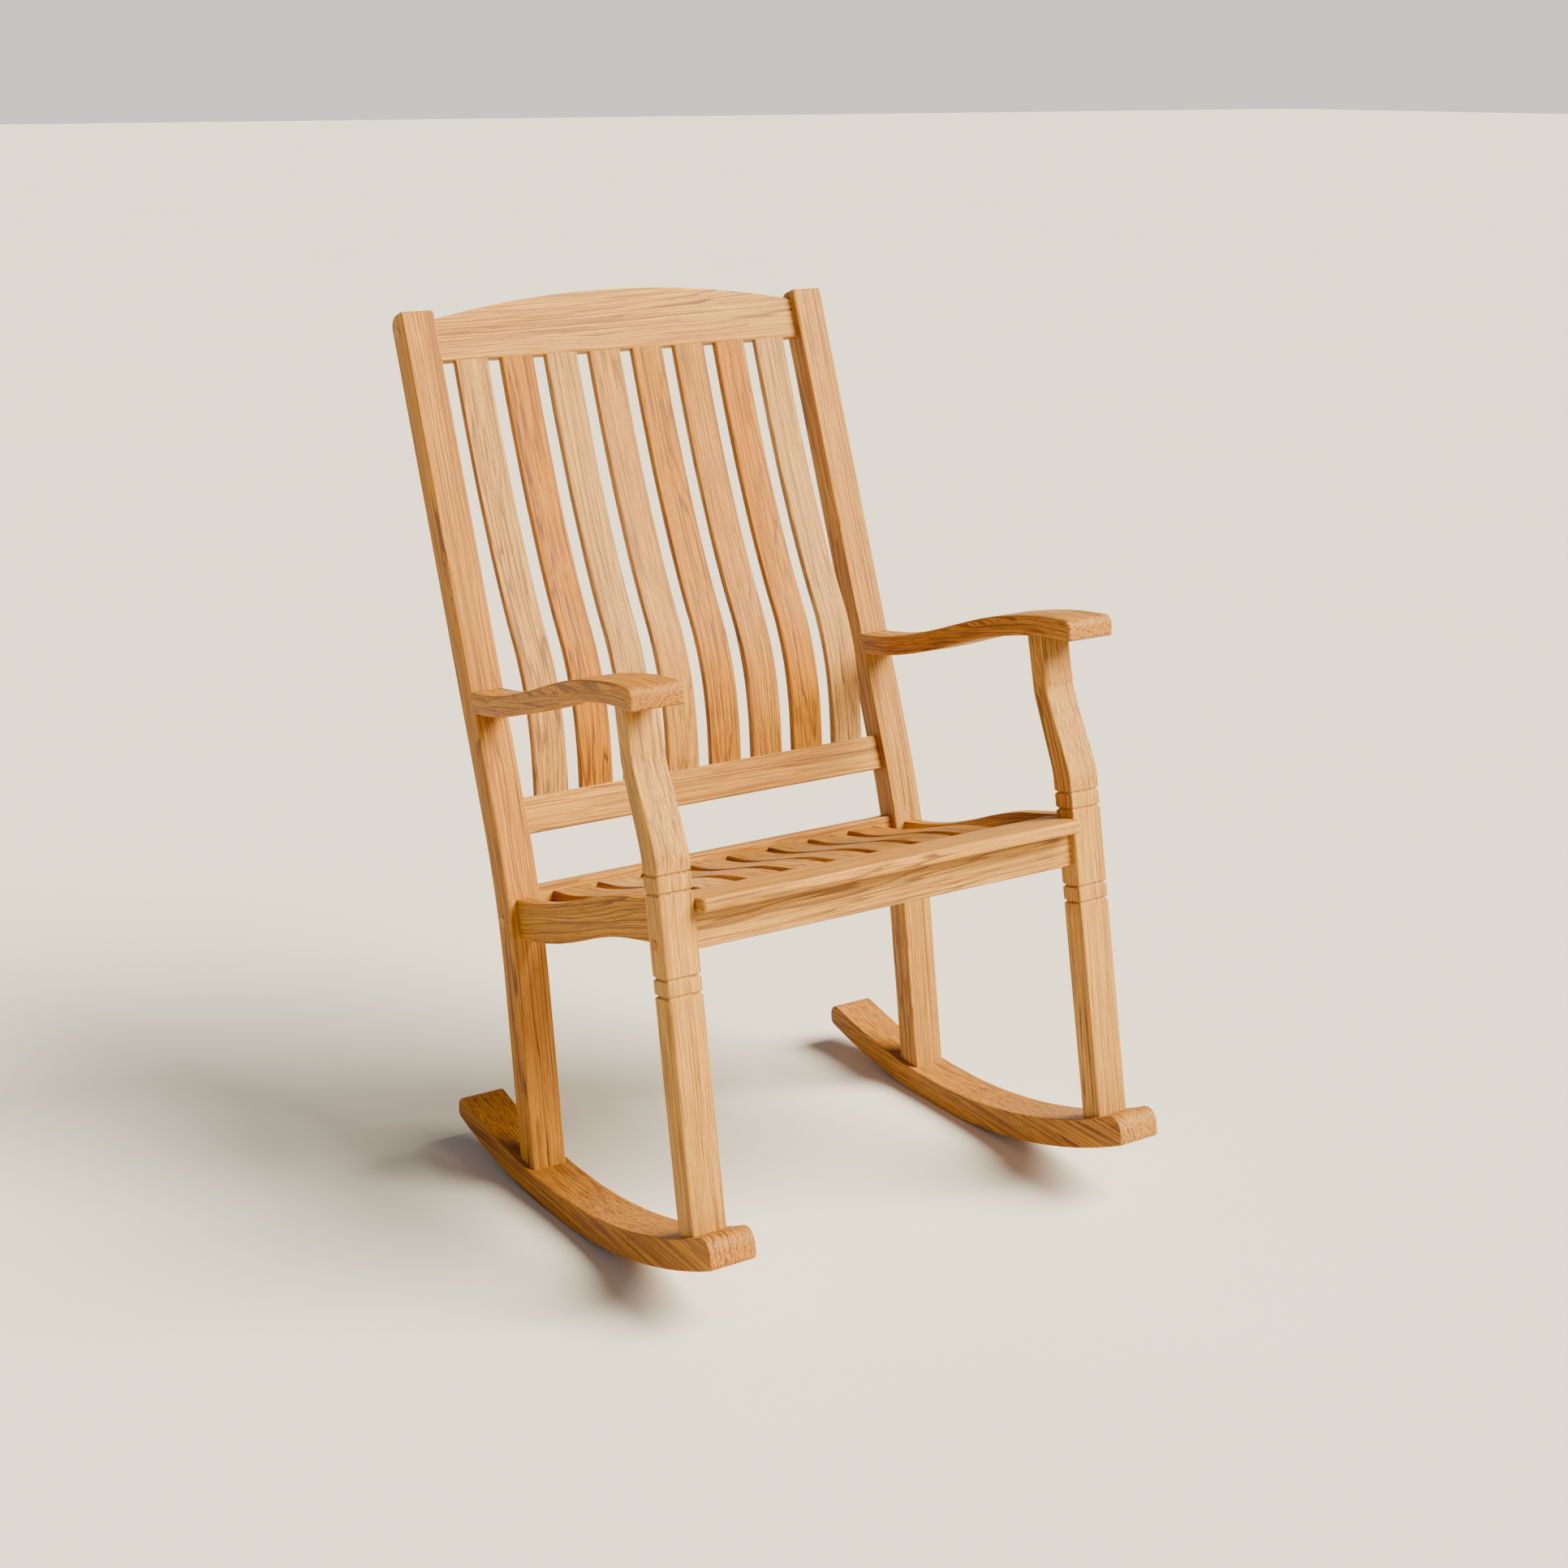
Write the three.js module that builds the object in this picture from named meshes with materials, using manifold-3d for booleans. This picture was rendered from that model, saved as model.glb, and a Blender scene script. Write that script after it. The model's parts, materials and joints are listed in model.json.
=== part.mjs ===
// Wooden rocking chair with a slatted seat and a slatted, curved back. Millimetres, +Z up.
// The chair is drawn level: it faces -Y, X runs across it, and the rockers touch z = 0 under y = 0.
// At the end it leans back about the centre of its rockers, to the way it stands when it is empty.
// Left and right are the sitter's, so left is +X.
import * as THREE from 'three';
import { mergeVertices } from 'three/addons/utils/BufferGeometryUtils.js';
import Module from 'manifold-3d';

const wasm = await Module();
wasm.setup();

// Overall sizes.
const innerWidth = 542; // between the two front legs, and between the two rear posts
const legWidth = 45; // legs and posts, across the chair
const frontLegDepth = 33;
const frontLegBack = -154.5; // y of the front legs' rear faces
const seatReach = 360.5; // from there back to the knee of the rear posts
const seatHeight = 432; // top of the front seat board
const armHeight = 653; // top of the arm where it meets the post
const backLength = 744; // along the rear post, from its knee to its top
const restLean = 10; // degrees that the empty chair leans back on its rockers
const fit = 0.3; // gap between pieces that touch

// Rockers.
const rockerRadius = 870;
const rockerWidth = 60;
const rockerThickness = 34.5;
const rockerThinning = 11; // the top arc's centre lies this far back, which thins the tail
const rockerFront = 234.5; // reach ahead of the arc's centre
const rockerRear = 392; // and behind it
const noseTop = 16; // radii of the rocker's corners
const noseUnder = 7;
const tailUnder = 10;
const tailTop = 13;
const rockerStep = 1.5; // degrees of arc in each flat
const restFlat = 4; // degrees of arc in the flat that the empty chair stands on

// Rear posts.
const postDepth = 36;
const postKneeHeight = 396;
const postFootBack = 11; // how far the foot stands behind the knee
const postLean = 10.34; // degrees, of the post above its knee
const postBendRadius = 1000;
const kneeToSeatFace = 6; // the bent post's middle line is this far behind the knee at the seat
const postTopRadius = 16; // of its rear top corner

// Front legs, which curve back above the seat and thin towards the arm.
const legCurveStart = 474;
const legCurveEnd = 600;
const legCurveBack = 31; // of the front face
const legTopDepth = 26;
const legTopBack = 2; // how much further back the leg's top is than the end of its curve
const grooveDepth = 2.2;
const grooveHeights = [326.5, 346.5, 442.5, 463];

// Arms.
const armThickness = 26;
const armFrontWidth = 69;
const armOverhang = 25.5; // ahead of the front leg's front face
const armNoseRadius = 11;
const armRiseAtLeg = 28; // of the arm's top at the front leg, above its top at the post

// Seat.
const slatCount = 8;
const slatEdgeGap = 23; // from the outermost slats to the line of the legs' inner faces
const seatSlatWidth = 48.5;
const seatThickness = 16; // seat slats and front seat board
const boardOverhang = 18; // of the seat board, ahead of the front legs
const boardRear = -65; // y where the board ends and the slats begin
const boardNoseRadius = 6;
const slatDrop = 17.7; // seat slats' front ends, below the seat height
const sideRailThickness = 19;
const sideRailSetIn = 12; // from the legs' outer faces
const sideRailDepth = 49;
const apronSetBack = 9; // from the front legs' front faces
const apronThickness = 28;
const apronHeight = 43;
const rearRailSetBack = 10; // from the posts' front faces
const rearRailThickness = 20;
const rearRailHeight = 50;
const rearRailTop = 27; // below the seat height
const cleatHeight = 20;
const frontCleatWidth = 60;
const rearCleatWidth = 24;
const housing = 8; // depth that the seat slats enter the rear rail

// Back.
const backSlatWidth = 46;
const backSlatThickness = 10.5;
const backTenon = 10; // length of the tenon at each end of a back slat
const backTenonThickness = 5.5;
const railFaceAhead = 7.5; // crest and lower rail's front faces, ahead of the posts' middle line
const slatFaceAhead = 6.5;
const lowerRailTop = 120; // along the post from its knee
const lowerRailHeight = 46;
const lowerRailThickness = 20;
const crestBottom = 679; // along the post from its knee
const crestEndHeight = 54;
const crestCrown = 28; // rise of the crest rail's middle over its ends
const crestThickness = 19;
const lumbarRise = 24.5; // how far the back slats stand forward in the small of the back

// Joints.
const pegRadius = 6.5; // pegs that show on the outer faces
const pegProud = 1;
const pegReach = 35; // into the rail
const crestPegUp = 42; // above the crest rail's under side
const crestPegBehind = 3; // the post's middle line
const rearPegDown = 37; // below the rear rail's top
const frontPegDown = 47; // below the seat height
const frontPegAhead = 12.5; // of the front leg's rear face
const rockerDowelRadius = 6;
const rockerDowelUp = 30;
const rockerDowelDown = 18;
const armDowelRadius = 5;
const armDowelLength = 26; // into each piece that is thick enough
const armDowelShort = 14; // into the arm from below, and into the post
const tenonLength = 12;
const tenonThickness = 10;
const tenonHeight = 28;
const tenonRoot = 5; // how far a tenon's solid runs back into its own piece
const tenonShoulder = 8; // from the side rail's top to its tenon
const slatShoulder = 3; // from a back slat's edge to its tenon

const wood = { honey: 0xd9a066, golden: 0xcf955a, brown: 0xb5824c };
const radians = THREE.MathUtils.degToRad;
const legFront = frontLegBack - frontLegDepth;
const outerFace = innerWidth / 2 + legWidth;
const legMiddle = innerWidth / 2 + legWidth / 2;
const point = (y, z) => new THREE.Vector2(y, z);

// Plain geometry to a solid, and a solid to plain geometry.
function solid(geometry) {
  geometry.deleteAttribute('normal');
  geometry.deleteAttribute('uv');
  const merged = mergeVertices(geometry, 1e-3);
  return new wasm.Manifold(new wasm.Mesh({
    numProp: 3,
    vertProperties: new Float32Array(merged.attributes.position.array),
    triVerts: new Uint32Array(merged.index.array),
  }));
}

function toGeometry(body) {
  const mesh = body.getMesh();
  const geometry = new THREE.BufferGeometry();
  geometry.setAttribute('position', new THREE.BufferAttribute(mesh.vertProperties, 3));
  geometry.setIndex(new THREE.BufferAttribute(mesh.triVerts, 1));
  geometry.computeVertexNormals();
  return geometry;
}

// A side outline in (y, z), made solid from x = low to x = high.
const sideBasis = new THREE.Matrix4().makeBasis(
  new THREE.Vector3(0, 1, 0), new THREE.Vector3(0, 0, 1), new THREE.Vector3(1, 0, 0));

function sideSolid(outline, low, high) {
  const shape = new THREE.Shape(outline);
  const geometry = new THREE.ExtrudeGeometry(shape, { depth: high - low, bevelEnabled: false });
  geometry.applyMatrix4(sideBasis).translate(low, 0, 0);
  return solid(geometry);
}

function box(low, high) {
  const size = high.map((value, axis) => value - low[axis]);
  const geometry = new THREE.BoxGeometry(...size);
  geometry.translate(...low.map((value, axis) => value + size[axis] / 2));
  return solid(geometry);
}

// A round bar along 'x', 'y' or 'z', from one end to the other.
function bar(axis, radius, start, end, sides = 24) {
  const from = new THREE.Vector3(...start);
  const to = new THREE.Vector3(...end);
  const geometry = new THREE.CylinderGeometry(radius, radius, from.distanceTo(to), sides);
  if (axis === 'x') geometry.rotateZ(Math.PI / 2);
  if (axis === 'z') geometry.rotateX(Math.PI / 2);
  const middle = from.add(to).multiplyScalar(0.5);
  geometry.translate(middle.x, middle.y, middle.z);
  return solid(geometry);
}

// The points of a curve through a few given points.
const through = (points, steps) => new THREE.SplineCurve(points).getPoints(steps);

// An arc in place of a corner, as points from the side of `before` to the side of `after`.
function roundedCorner(before, corner, after, radius, steps = 5) {
  const toBefore = before.clone().sub(corner).normalize();
  const toAfter = after.clone().sub(corner).normalize();
  const half = Math.acos(THREE.MathUtils.clamp(toBefore.dot(toAfter), -1, 1)) / 2;
  const middle = toBefore.clone().add(toAfter).normalize();
  const centre = corner.clone().addScaledVector(middle, radius / Math.sin(half));
  const start = corner.clone().addScaledVector(toBefore, radius / Math.tan(half)).sub(centre);
  const turn = (Math.PI - 2 * half) * Math.sign(toAfter.cross(toBefore));
  return Array.from({ length: steps + 1 }, (_, step) => (
    start.clone().rotateAround(point(0, 0), turn * step / steps).add(centre)));
}

// A strip of even thickness that follows a line: `ahead` to its left, `behind` to its right,
// with the four corners rounded: [left start, right start, right end, left end].
function strip(line, ahead, behind, corners = [0, 0, 0, 0]) {
  const sides = line.map((at, index) => {
    const before = line[Math.max(index - 1, 0)];
    const after = line[Math.min(index + 1, line.length - 1)];
    const along = after.clone().sub(before).normalize();
    const left = point(-along.y, along.x);
    return {
      left: at.clone().addScaledVector(left, ahead),
      right: at.clone().addScaledVector(left, -behind),
    };
  });
  const leftSide = sides.map((side) => side.left);
  const rightSide = sides.map((side) => side.right).reverse();
  const trimmed = (side, startRadius, endRadius) => side.filter((at, index) => (
    index > 0 && index < side.length - 1
    && at.distanceTo(side[0]) > startRadius * 1.3
    && at.distanceTo(side[side.length - 1]) > endRadius * 1.3));
  const corner = (before, at, after, radius) => (
    radius > 0 ? roundedCorner(before, at, after, radius) : [at]);
  const last = line.length - 1;
  return [
    ...corner(rightSide[last], leftSide[0], leftSide[1], corners[0]),
    ...trimmed(leftSide, corners[0], corners[3]),
    ...corner(leftSide[last - 1], leftSide[last], rightSide[0], corners[3]),
    ...corner(leftSide[last], rightSide[0], rightSide[1], corners[2]),
    ...trimmed(rightSide, corners[2], corners[1]),
    ...corner(rightSide[last - 1], rightSide[last], leftSide[0], corners[1]),
  ];
}

// Two straight lines joined by an arc.
function bentLine(start, knee, end, radius) {
  const arc = roundedCorner(start, knee, end, radius, 8);
  return [start, ...arc, end];
}

// Heights of the rocker's faces at a distance y from its centre.
const arcHeight = (radius, centre, y) => rockerRadius - Math.sqrt(radius ** 2 - (y - centre) ** 2);
const rockerTopHeight = (y) => arcHeight(rockerRadius - rockerThickness, rockerThinning, y);

// The rocker's flats are placed so that one of them lies on the floor when the chair leans back.
function rockerOutline() {
  const noseAngle = -THREE.MathUtils.radToDeg(Math.asin(rockerFront / rockerRadius));
  const tailAngle = THREE.MathUtils.radToDeg(Math.asin(rockerRear / rockerRadius));
  const ahead = restLean - restFlat / 2;
  const behind = restLean + restFlat / 2;
  const angles = [noseAngle];
  const flatsAhead = Math.floor((ahead - noseAngle) / rockerStep - 0.2);
  for (let flat = flatsAhead; flat >= 0; flat -= 1) angles.push(ahead - flat * rockerStep);
  for (let angle = behind; angle < tailAngle - rockerStep / 4; angle += rockerStep) angles.push(angle);
  angles.push(tailAngle);
  const arc = (radius, centre, along) => along.map(radians).map((angle) => (
    point(centre + radius * Math.sin(angle), rockerRadius - radius * Math.cos(angle))));
  const topRadius = rockerRadius - rockerThickness;
  const noseTopAngle = -THREE.MathUtils.radToDeg(Math.asin((rockerFront + rockerThinning) / topRadius));
  const under = arc(rockerRadius, 0, angles);
  const top = arc(topRadius, rockerThinning, [noseTopAngle, ...angles.slice(1)]).reverse();
  const clear = (side, startRadius, endRadius) => side.filter((at, index) => (
    index > 0 && index < side.length - 1
    && at.distanceTo(side[0]) > startRadius && at.distanceTo(side[side.length - 1]) > endRadius));
  const end = under.length - 1;
  return [
    ...roundedCorner(top[end], under[0], under[1], noseUnder),
    ...clear(under, noseUnder, tailUnder),
    ...roundedCorner(under[end - 1], under[end], top[0], tailUnder),
    ...roundedCorner(under[end], top[0], top[1], tailTop),
    ...clear(top, tailTop, noseTop),
    ...roundedCorner(top[end - 1], top[end], under[0], noseTop),
  ];
}

// Rear post: its middle line, and places measured along it from the knee.
const kneeY = frontLegBack + seatReach;
const knee = point(kneeY, postKneeHeight);
const upPost = point(Math.sin(radians(postLean)), Math.cos(radians(postLean)));
const aheadOfPost = point(-upPost.y, upPost.x);
const onPost = (along, ahead) => (
  knee.clone().addScaledVector(upPost, along).addScaledVector(aheadOfPost, ahead));
const footY = kneeY + postFootBack;

function postLine() {
  const foot = point(footY, rockerTopHeight(footY) + fit);
  return bentLine(foot, knee, onPost(backLength, 0), postBendRadius);
}

function postOutline(extra = 0) {
  const rounding = extra > 0 ? 0 : postTopRadius;
  return strip(postLine(), postDepth / 2 + extra, postDepth / 2 + extra, [0, 0, rounding, 0]);
}

// The foot is cut to the rocker's top at both of its edges.
function restOnRocker(outline) {
  return outline.map((at) => {
    const floor = rockerTopHeight(at.x) + fit;
    const isFoot = at.y < floor + postDepth / 2;
    return isFoot ? point(at.x, floor) : at;
  });
}

// Front leg: straight to the seat, then swept back to a thinner top.
function frontLegOutline(top) {
  const sweep = (back) => [0, 0.14, 0.5, 0.86, 1].map((share) => {
    const eased = THREE.MathUtils.smoothstep(share, 0, 1);
    return point(eased * back, THREE.MathUtils.lerp(legCurveStart, legCurveEnd, share));
  });
  const frontSweep = through(sweep(legCurveBack), 10);
  const rearSweep = through(sweep(legCurveBack - frontLegDepth + legTopDepth), 10);
  const outline = [point(frontLegBack, 0), point(legFront, 0)];
  frontSweep.forEach((at) => outline.push(point(legFront + at.x, at.y)));
  outline.push(point(legFront + legCurveBack + legTopBack, top));
  outline.push(point(legFront + legCurveBack + legTopDepth + legTopBack, top));
  rearSweep.reverse().forEach((at) => outline.push(point(frontLegBack + at.x, at.y)));
  return restOnRocker(outline.reverse());
}

// Arm, from its nose to the post. The line is its top.
const armNose = legFront - armOverhang;

function armLine() {
  const rise = [22.5, 28.5, 29, 25.5, 17.5, 8.5, 1.5, -2, 0];
  const postFace = postFaceAt(armHeight);
  const line = rise.map((height, index) => (
    point(THREE.MathUtils.lerp(armNose, postFace, index / (rise.length - 1)), armHeight + height)));
  return [...line, point(postFace + postDepth / 2, armHeight)];
}

// y of the rear posts' front faces at a height above the bend.
const postFaceAt = (z) => {
  const along = (z - postKneeHeight) / Math.cos(radians(postLean));
  return onPost(along, postDepth / 2).x;
};

function armOutline(extra = 0) {
  const line = through(armLine(), 27);
  const corners = extra > 0 ? [0, 0, 0, 0] : [armNoseRadius, 2, 0, 0];
  return strip(line, extra, armThickness + extra, corners);
}

// The arm's outer edge runs out from the post's width to its own width at the nose.
function armPlan(side) {
  const rear = postFaceAt(armHeight) + postDepth;
  const share = (rear - armNose) / (postFaceAt(armHeight) - armNose);
  const rearEdge = innerWidth / 2 + THREE.MathUtils.lerp(armFrontWidth, legWidth, share);
  const corner = roundedCorner(
    point(innerWidth / 2, armNose), point(innerWidth / 2 + armFrontWidth, armNose),
    point(rearEdge, rear), 4, 3);
  const plan = [
    point(innerWidth / 2, armNose), ...corner, point(rearEdge, rear), point(innerWidth / 2, rear)];
  const placed = side > 0 ? plan : plan.map((at) => point(-at.x, at.y)).reverse();
  const depth = 200;
  const shape = new THREE.Shape(placed);
  const geometry = new THREE.ExtrudeGeometry(shape, { depth, bevelEnabled: false });
  geometry.translate(0, 0, armHeight - depth / 2);
  return solid(geometry);
}

// Seat: the top line of the slats, of the board ahead of them and of the rails beside them.
const postFrontAtSeat = kneeY + kneeToSeatFace - postDepth / 2;
const rearRailFace = postFrontAtSeat + rearRailSetBack;
const alongSeat = (share) => THREE.MathUtils.lerp(boardRear, rearRailFace, share);

function seatSlatLine(rearExtra = 0) {
  const drop = [0, 0.5, 3.7, 10, 16, 19.3, 18];
  const line = drop.map((height, index) => (
    point(alongSeat(index / (drop.length - 1)), seatHeight - slatDrop - height)));
  const steps = through(line, 18);
  const end = steps[steps.length - 1];
  return rearExtra > 0 ? [...steps, point(end.x + rearExtra, end.y)] : steps;
}

function seatBoardLine() {
  const front = legFront - boardOverhang;
  const drop = [0, 0, 2, 8.6, slatDrop];
  const line = drop.map((height, index) => (
    point(THREE.MathUtils.lerp(front, boardRear - fit, index / (drop.length - 1)), seatHeight - height)));
  return through(line, 14);
}

function sideRailLine() {
  const drop = [0.8, 1.8, 4.5, 12, 22.5, 31, 35.8, 36.2];
  const line = drop.map((height, index) => (
    point(THREE.MathUtils.lerp(frontLegBack, postFrontAtSeat, index / (drop.length - 1)),
      seatHeight - height)));
  return through(line, 21);
}

// A board with upright ends whose under side repeats its top line lower down.
function slab(line, depth) {
  const under = line.map((at) => point(at.x, at.y - depth));
  return [...under, ...line.slice().reverse()];
}

const slatPitch = (width) => (innerWidth - 2 * slatEdgeGap - width) / (slatCount - 1);
const slatMiddle = (index, width) => (index - (slatCount - 1) / 2) * slatPitch(width);

// Back slat: its front line rises from the lower rail to the crest rail.
function backSlatLine(bottom, top) {
  const bulge = [0, 0.62, 0.97, 0.94, 0.58, 0.3, 0.12, 0, -0.05, -0.05, 0];
  const line = bulge.map((share, index) => onPost(
    THREE.MathUtils.lerp(lowerRailTop, crestBottom, index / (bulge.length - 1)),
    slatFaceAhead + share * lumbarRise));
  const steps = through(line, 30);
  if (bottom > 0) steps.unshift(onPost(lowerRailTop - bottom, slatFaceAhead));
  if (top > 0) steps.push(onPost(crestBottom + top, slatFaceAhead));
  return steps;
}

function backSlat(index) {
  const low = slatMiddle(index, backSlatWidth) - backSlatWidth / 2;
  const body = sideSolid(strip(backSlatLine(0, 0), 0, backSlatThickness), low, low + backSlatWidth);
  const inset = (backSlatThickness - backTenonThickness) / 2;
  const [tenonLow, tenonHigh] = [low + slatShoulder, low + backSlatWidth - slatShoulder];
  const tenon = (start, end, extra) => sideSolid(strip(
    [onPost(start, slatFaceAhead - inset), onPost(end, slatFaceAhead - inset)],
    extra, backTenonThickness + extra), tenonLow - extra, tenonHigh + extra);
  const both = (extra) => [
    tenon(lowerRailTop - backTenon - extra, lowerRailTop + tenonRoot, extra),
    tenon(crestBottom - tenonRoot, crestBottom + backTenon + extra, extra),
  ];
  const trimmed = body.subtract(halfSpaceAlongPost(lowerRailTop + fit, -1))
    .subtract(halfSpaceAlongPost(crestBottom - fit, 1));
  return { whole: both(0).reduce((sum, piece) => sum.add(piece), trimmed), mortises: both(fit) };
}

// Everything below (-1) or above (+1) a line square to the post.
function halfSpaceAlongPost(along, direction) {
  const depth = 40 * direction;
  const [front, rear] = [80, -60];
  const outline = [
    onPost(along, front), onPost(along, rear),
    onPost(along + depth, rear), onPost(along + depth, front)];
  return sideSolid(direction > 0 ? outline.reverse() : outline, -innerWidth, innerWidth);
}

// A rail between the posts whose outline is drawn on the plane of the back: x and distance along.
function backRail(outline, thickness) {
  const origin = onPost(0, railFaceAhead - thickness);
  const shape = new THREE.Shape(outline);
  const geometry = new THREE.ExtrudeGeometry(shape, { depth: thickness, bevelEnabled: false });
  const basis = new THREE.Matrix4().makeBasis(
    new THREE.Vector3(1, 0, 0), new THREE.Vector3(0, upPost.x, upPost.y),
    new THREE.Vector3(0, aheadOfPost.x, aheadOfPost.y));
  geometry.applyMatrix4(basis).translate(0, origin.x, origin.y);
  return solid(geometry);
}

function crestOutline() {
  const half = innerWidth / 2 - fit;
  const steps = 16;
  const outline = [point(-half, crestBottom), point(half, crestBottom)];
  for (let step = 0; step <= steps; step += 1) {
    const across = 1 - 2 * step / steps;
    outline.push(point(across * half, crestBottom + crestEndHeight + crestCrown * (1 - across ** 2)));
  }
  return outline;
}

// The pieces, and the hollows that they leave in their neighbours.
const pieces = new Map();
const keep = (name, body, colour) => pieces.set(name, { body, colour });
const bothSides = [['left', 1], ['right', -1]];
const fromTo = (side, inner, outer) => (side > 0 ? [inner, outer] : [-outer, -inner]);

const grownPost = (side) => {
  const [low, high] = fromTo(side, innerWidth / 2 - fit, outerFace + fit);
  return sideSolid(postOutline(fit), low, high);
};
const grownLeg = (side) => {
  const [low, high] = fromTo(side, innerWidth / 2 - fit, outerFace + fit);
  return box([low, legFront - fit, 0], [high, frontLegBack + fit, legCurveStart]);
};
const grownArm = (side) => {
  const [low, high] = fromTo(side, innerWidth / 2 - 1, innerWidth / 2 + armFrontWidth + 1);
  return sideSolid(armOutline(fit), low, high);
};

// Places of the joints.
const crestPeg = onPost(crestBottom + crestPegUp, -crestPegBehind);
const rearPeg = point(rearRailFace + rearRailThickness / 2, seatHeight - rearRailTop - rearPegDown);
const frontPeg = point(frontLegBack - frontPegAhead, seatHeight - frontPegDown);
const pegs = [['crest_peg', crestPeg], ['rear_seat_peg', rearPeg], ['front_seat_peg', frontPeg]];

function peg(side, at, extra) {
  const start = innerWidth / 2 - pegReach - extra;
  const end = outerFace + pegProud + extra;
  return bar('x', pegRadius + extra, [side * start, at.x, at.y], [side * end, at.x, at.y]);
}

const legAxis = (legFront + frontLegBack) / 2;
const rockerDowels = [['front', legAxis], ['rear', footY]];

function rockerDowel(side, y, extra) {
  const seat = rockerTopHeight(y);
  return bar('z', rockerDowelRadius + extra,
    [side * legMiddle, y, seat - rockerDowelDown - extra],
    [side * legMiddle, y, seat + rockerDowelUp + extra]);
}

const armUnder = armHeight + armRiseAtLeg - armThickness;
const legTopAxis = legFront + legCurveBack + legTopBack + legTopDepth / 2;

function armLegDowel(side, extra) {
  return bar('z', armDowelRadius + extra,
    [side * legMiddle, legTopAxis, armUnder - armDowelLength - extra],
    [side * legMiddle, legTopAxis, armUnder + armDowelShort + extra]);
}

function armPostDowel(side, extra) {
  const z = armHeight - armThickness / 2;
  const face = postFaceAt(z);
  return bar('y', armDowelRadius + extra,
    [side * legMiddle, face - armDowelLength - extra, z],
    [side * legMiddle, face + armDowelShort + extra, z]);
}

const sideRailOuter = outerFace - sideRailSetIn;
const sideRailInner = sideRailOuter - sideRailThickness;

function sideRailTenon(side, end, extra) {
  const middle = (sideRailInner + sideRailOuter) / 2;
  const wide = tenonThickness / 2 + extra;
  const [low, high] = fromTo(side, middle - wide, middle + wide);
  const reach = tenonLength + extra;
  const line = sideRailLine();
  const isFront = end === 'front';
  const top = (isFront ? line[0].y : line[line.length - 1].y) - tenonShoulder;
  const [near, far] = isFront ? [frontLegBack - reach, frontLegBack + tenonRoot]
    : [postFrontAtSeat - tenonRoot, postFrontAtSeat + reach];
  return box([low, near, top - tenonHeight - extra], [high, far, top + extra]);
}

function lowerRailTenon(side, extra) {
  const half = tenonHeight / 2 + extra;
  const middle = lowerRailTop - lowerRailHeight / 2;
  const centre = railFaceAhead - lowerRailThickness / 2;
  const ends = [onPost(middle - half, centre), onPost(middle + half, centre)];
  const outline = strip(ends, tenonThickness / 2 + extra, tenonThickness / 2 + extra);
  const [low, high] = fromTo(side, innerWidth / 2 - tenonRoot, innerWidth / 2 + tenonLength + extra);
  return sideSolid(outline, low, high);
}

for (const [name, side] of bothSides) {
  const [low, high] = fromTo(side, innerWidth / 2, outerFace);

  // Rear post.
  let post = sideSolid(restOnRocker(postOutline()), low, high);
  post = post.subtract(peg(side, crestPeg, fit)).subtract(peg(side, rearPeg, fit));
  post = post.subtract(rockerDowel(side, footY, fit)).subtract(armPostDowel(side, fit));
  post = post.subtract(sideRailTenon(side, 'rear', fit)).subtract(lowerRailTenon(side, fit));
  keep(`rear_post_${name}`, post, wood.honey);

  // Front leg, with its two pairs of grooves.
  let leg = sideSolid(frontLegOutline(armUnder + armThickness / 3), low, high);
  for (const z of grooveHeights) {
    for (const y of [legFront, frontLegBack]) {
      leg = leg.subtract(bar('x', grooveDepth, [low - 5, y, z], [high + 5, y, z], 4));
    }
    for (const x of [low, high]) {
      leg = leg.subtract(bar('y', grooveDepth, [x, legFront - 5, z], [x, frontLegBack + 5, z], 4));
    }
  }
  leg = leg.subtract(grownArm(side)).subtract(peg(side, frontPeg, fit));
  leg = leg.subtract(rockerDowel(side, legAxis, fit)).subtract(armLegDowel(side, fit));
  leg = leg.subtract(sideRailTenon(side, 'front', fit));
  keep(`front_leg_${name}`, leg, wood.honey);

  // Rocker.
  const half = rockerWidth / 2;
  let rocker = sideSolid(rockerOutline(), side * legMiddle - half, side * legMiddle + half);
  for (const [, y] of rockerDowels) rocker = rocker.subtract(rockerDowel(side, y, fit));
  keep(`rocker_${name}`, rocker, wood.golden);

  // Arm.
  const [armLow, armHigh] = fromTo(side, innerWidth / 2, innerWidth / 2 + armFrontWidth);
  let arm = sideSolid(armOutline(), armLow, armHigh).intersect(armPlan(side)).subtract(grownPost(side));
  arm = arm.subtract(armLegDowel(side, fit)).subtract(armPostDowel(side, fit));
  keep(`arm_${name}`, arm, wood.golden);

  // Side rail of the seat.
  const [railLow, railHigh] = fromTo(side, sideRailInner, sideRailOuter);
  const railTop = sideRailLine();
  const railEnd = railTop[railTop.length - 1].clone();
  railEnd.x += tenonShoulder;
  let rail = sideSolid(slab([...railTop, railEnd], sideRailDepth), railLow, railHigh);
  rail = rail.subtract(grownPost(side)).subtract(grownLeg(side));
  rail = rail.add(sideRailTenon(side, 'front', 0)).add(sideRailTenon(side, 'rear', 0));
  keep(`side_rail_${name}`, rail, wood.brown);

  // Pegs and dowels.
  for (const [label, at] of pegs) keep(`${label}_${name}`, peg(side, at, 0), wood.brown);
  for (const [label, y] of rockerDowels) {
    keep(`rocker_dowel_${label}_${name}`, rockerDowel(side, y, 0), wood.honey);
  }
  keep(`arm_leg_dowel_${name}`, armLegDowel(side, 0), wood.honey);
  keep(`arm_post_dowel_${name}`, armPostDowel(side, 0), wood.honey);
}

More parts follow.
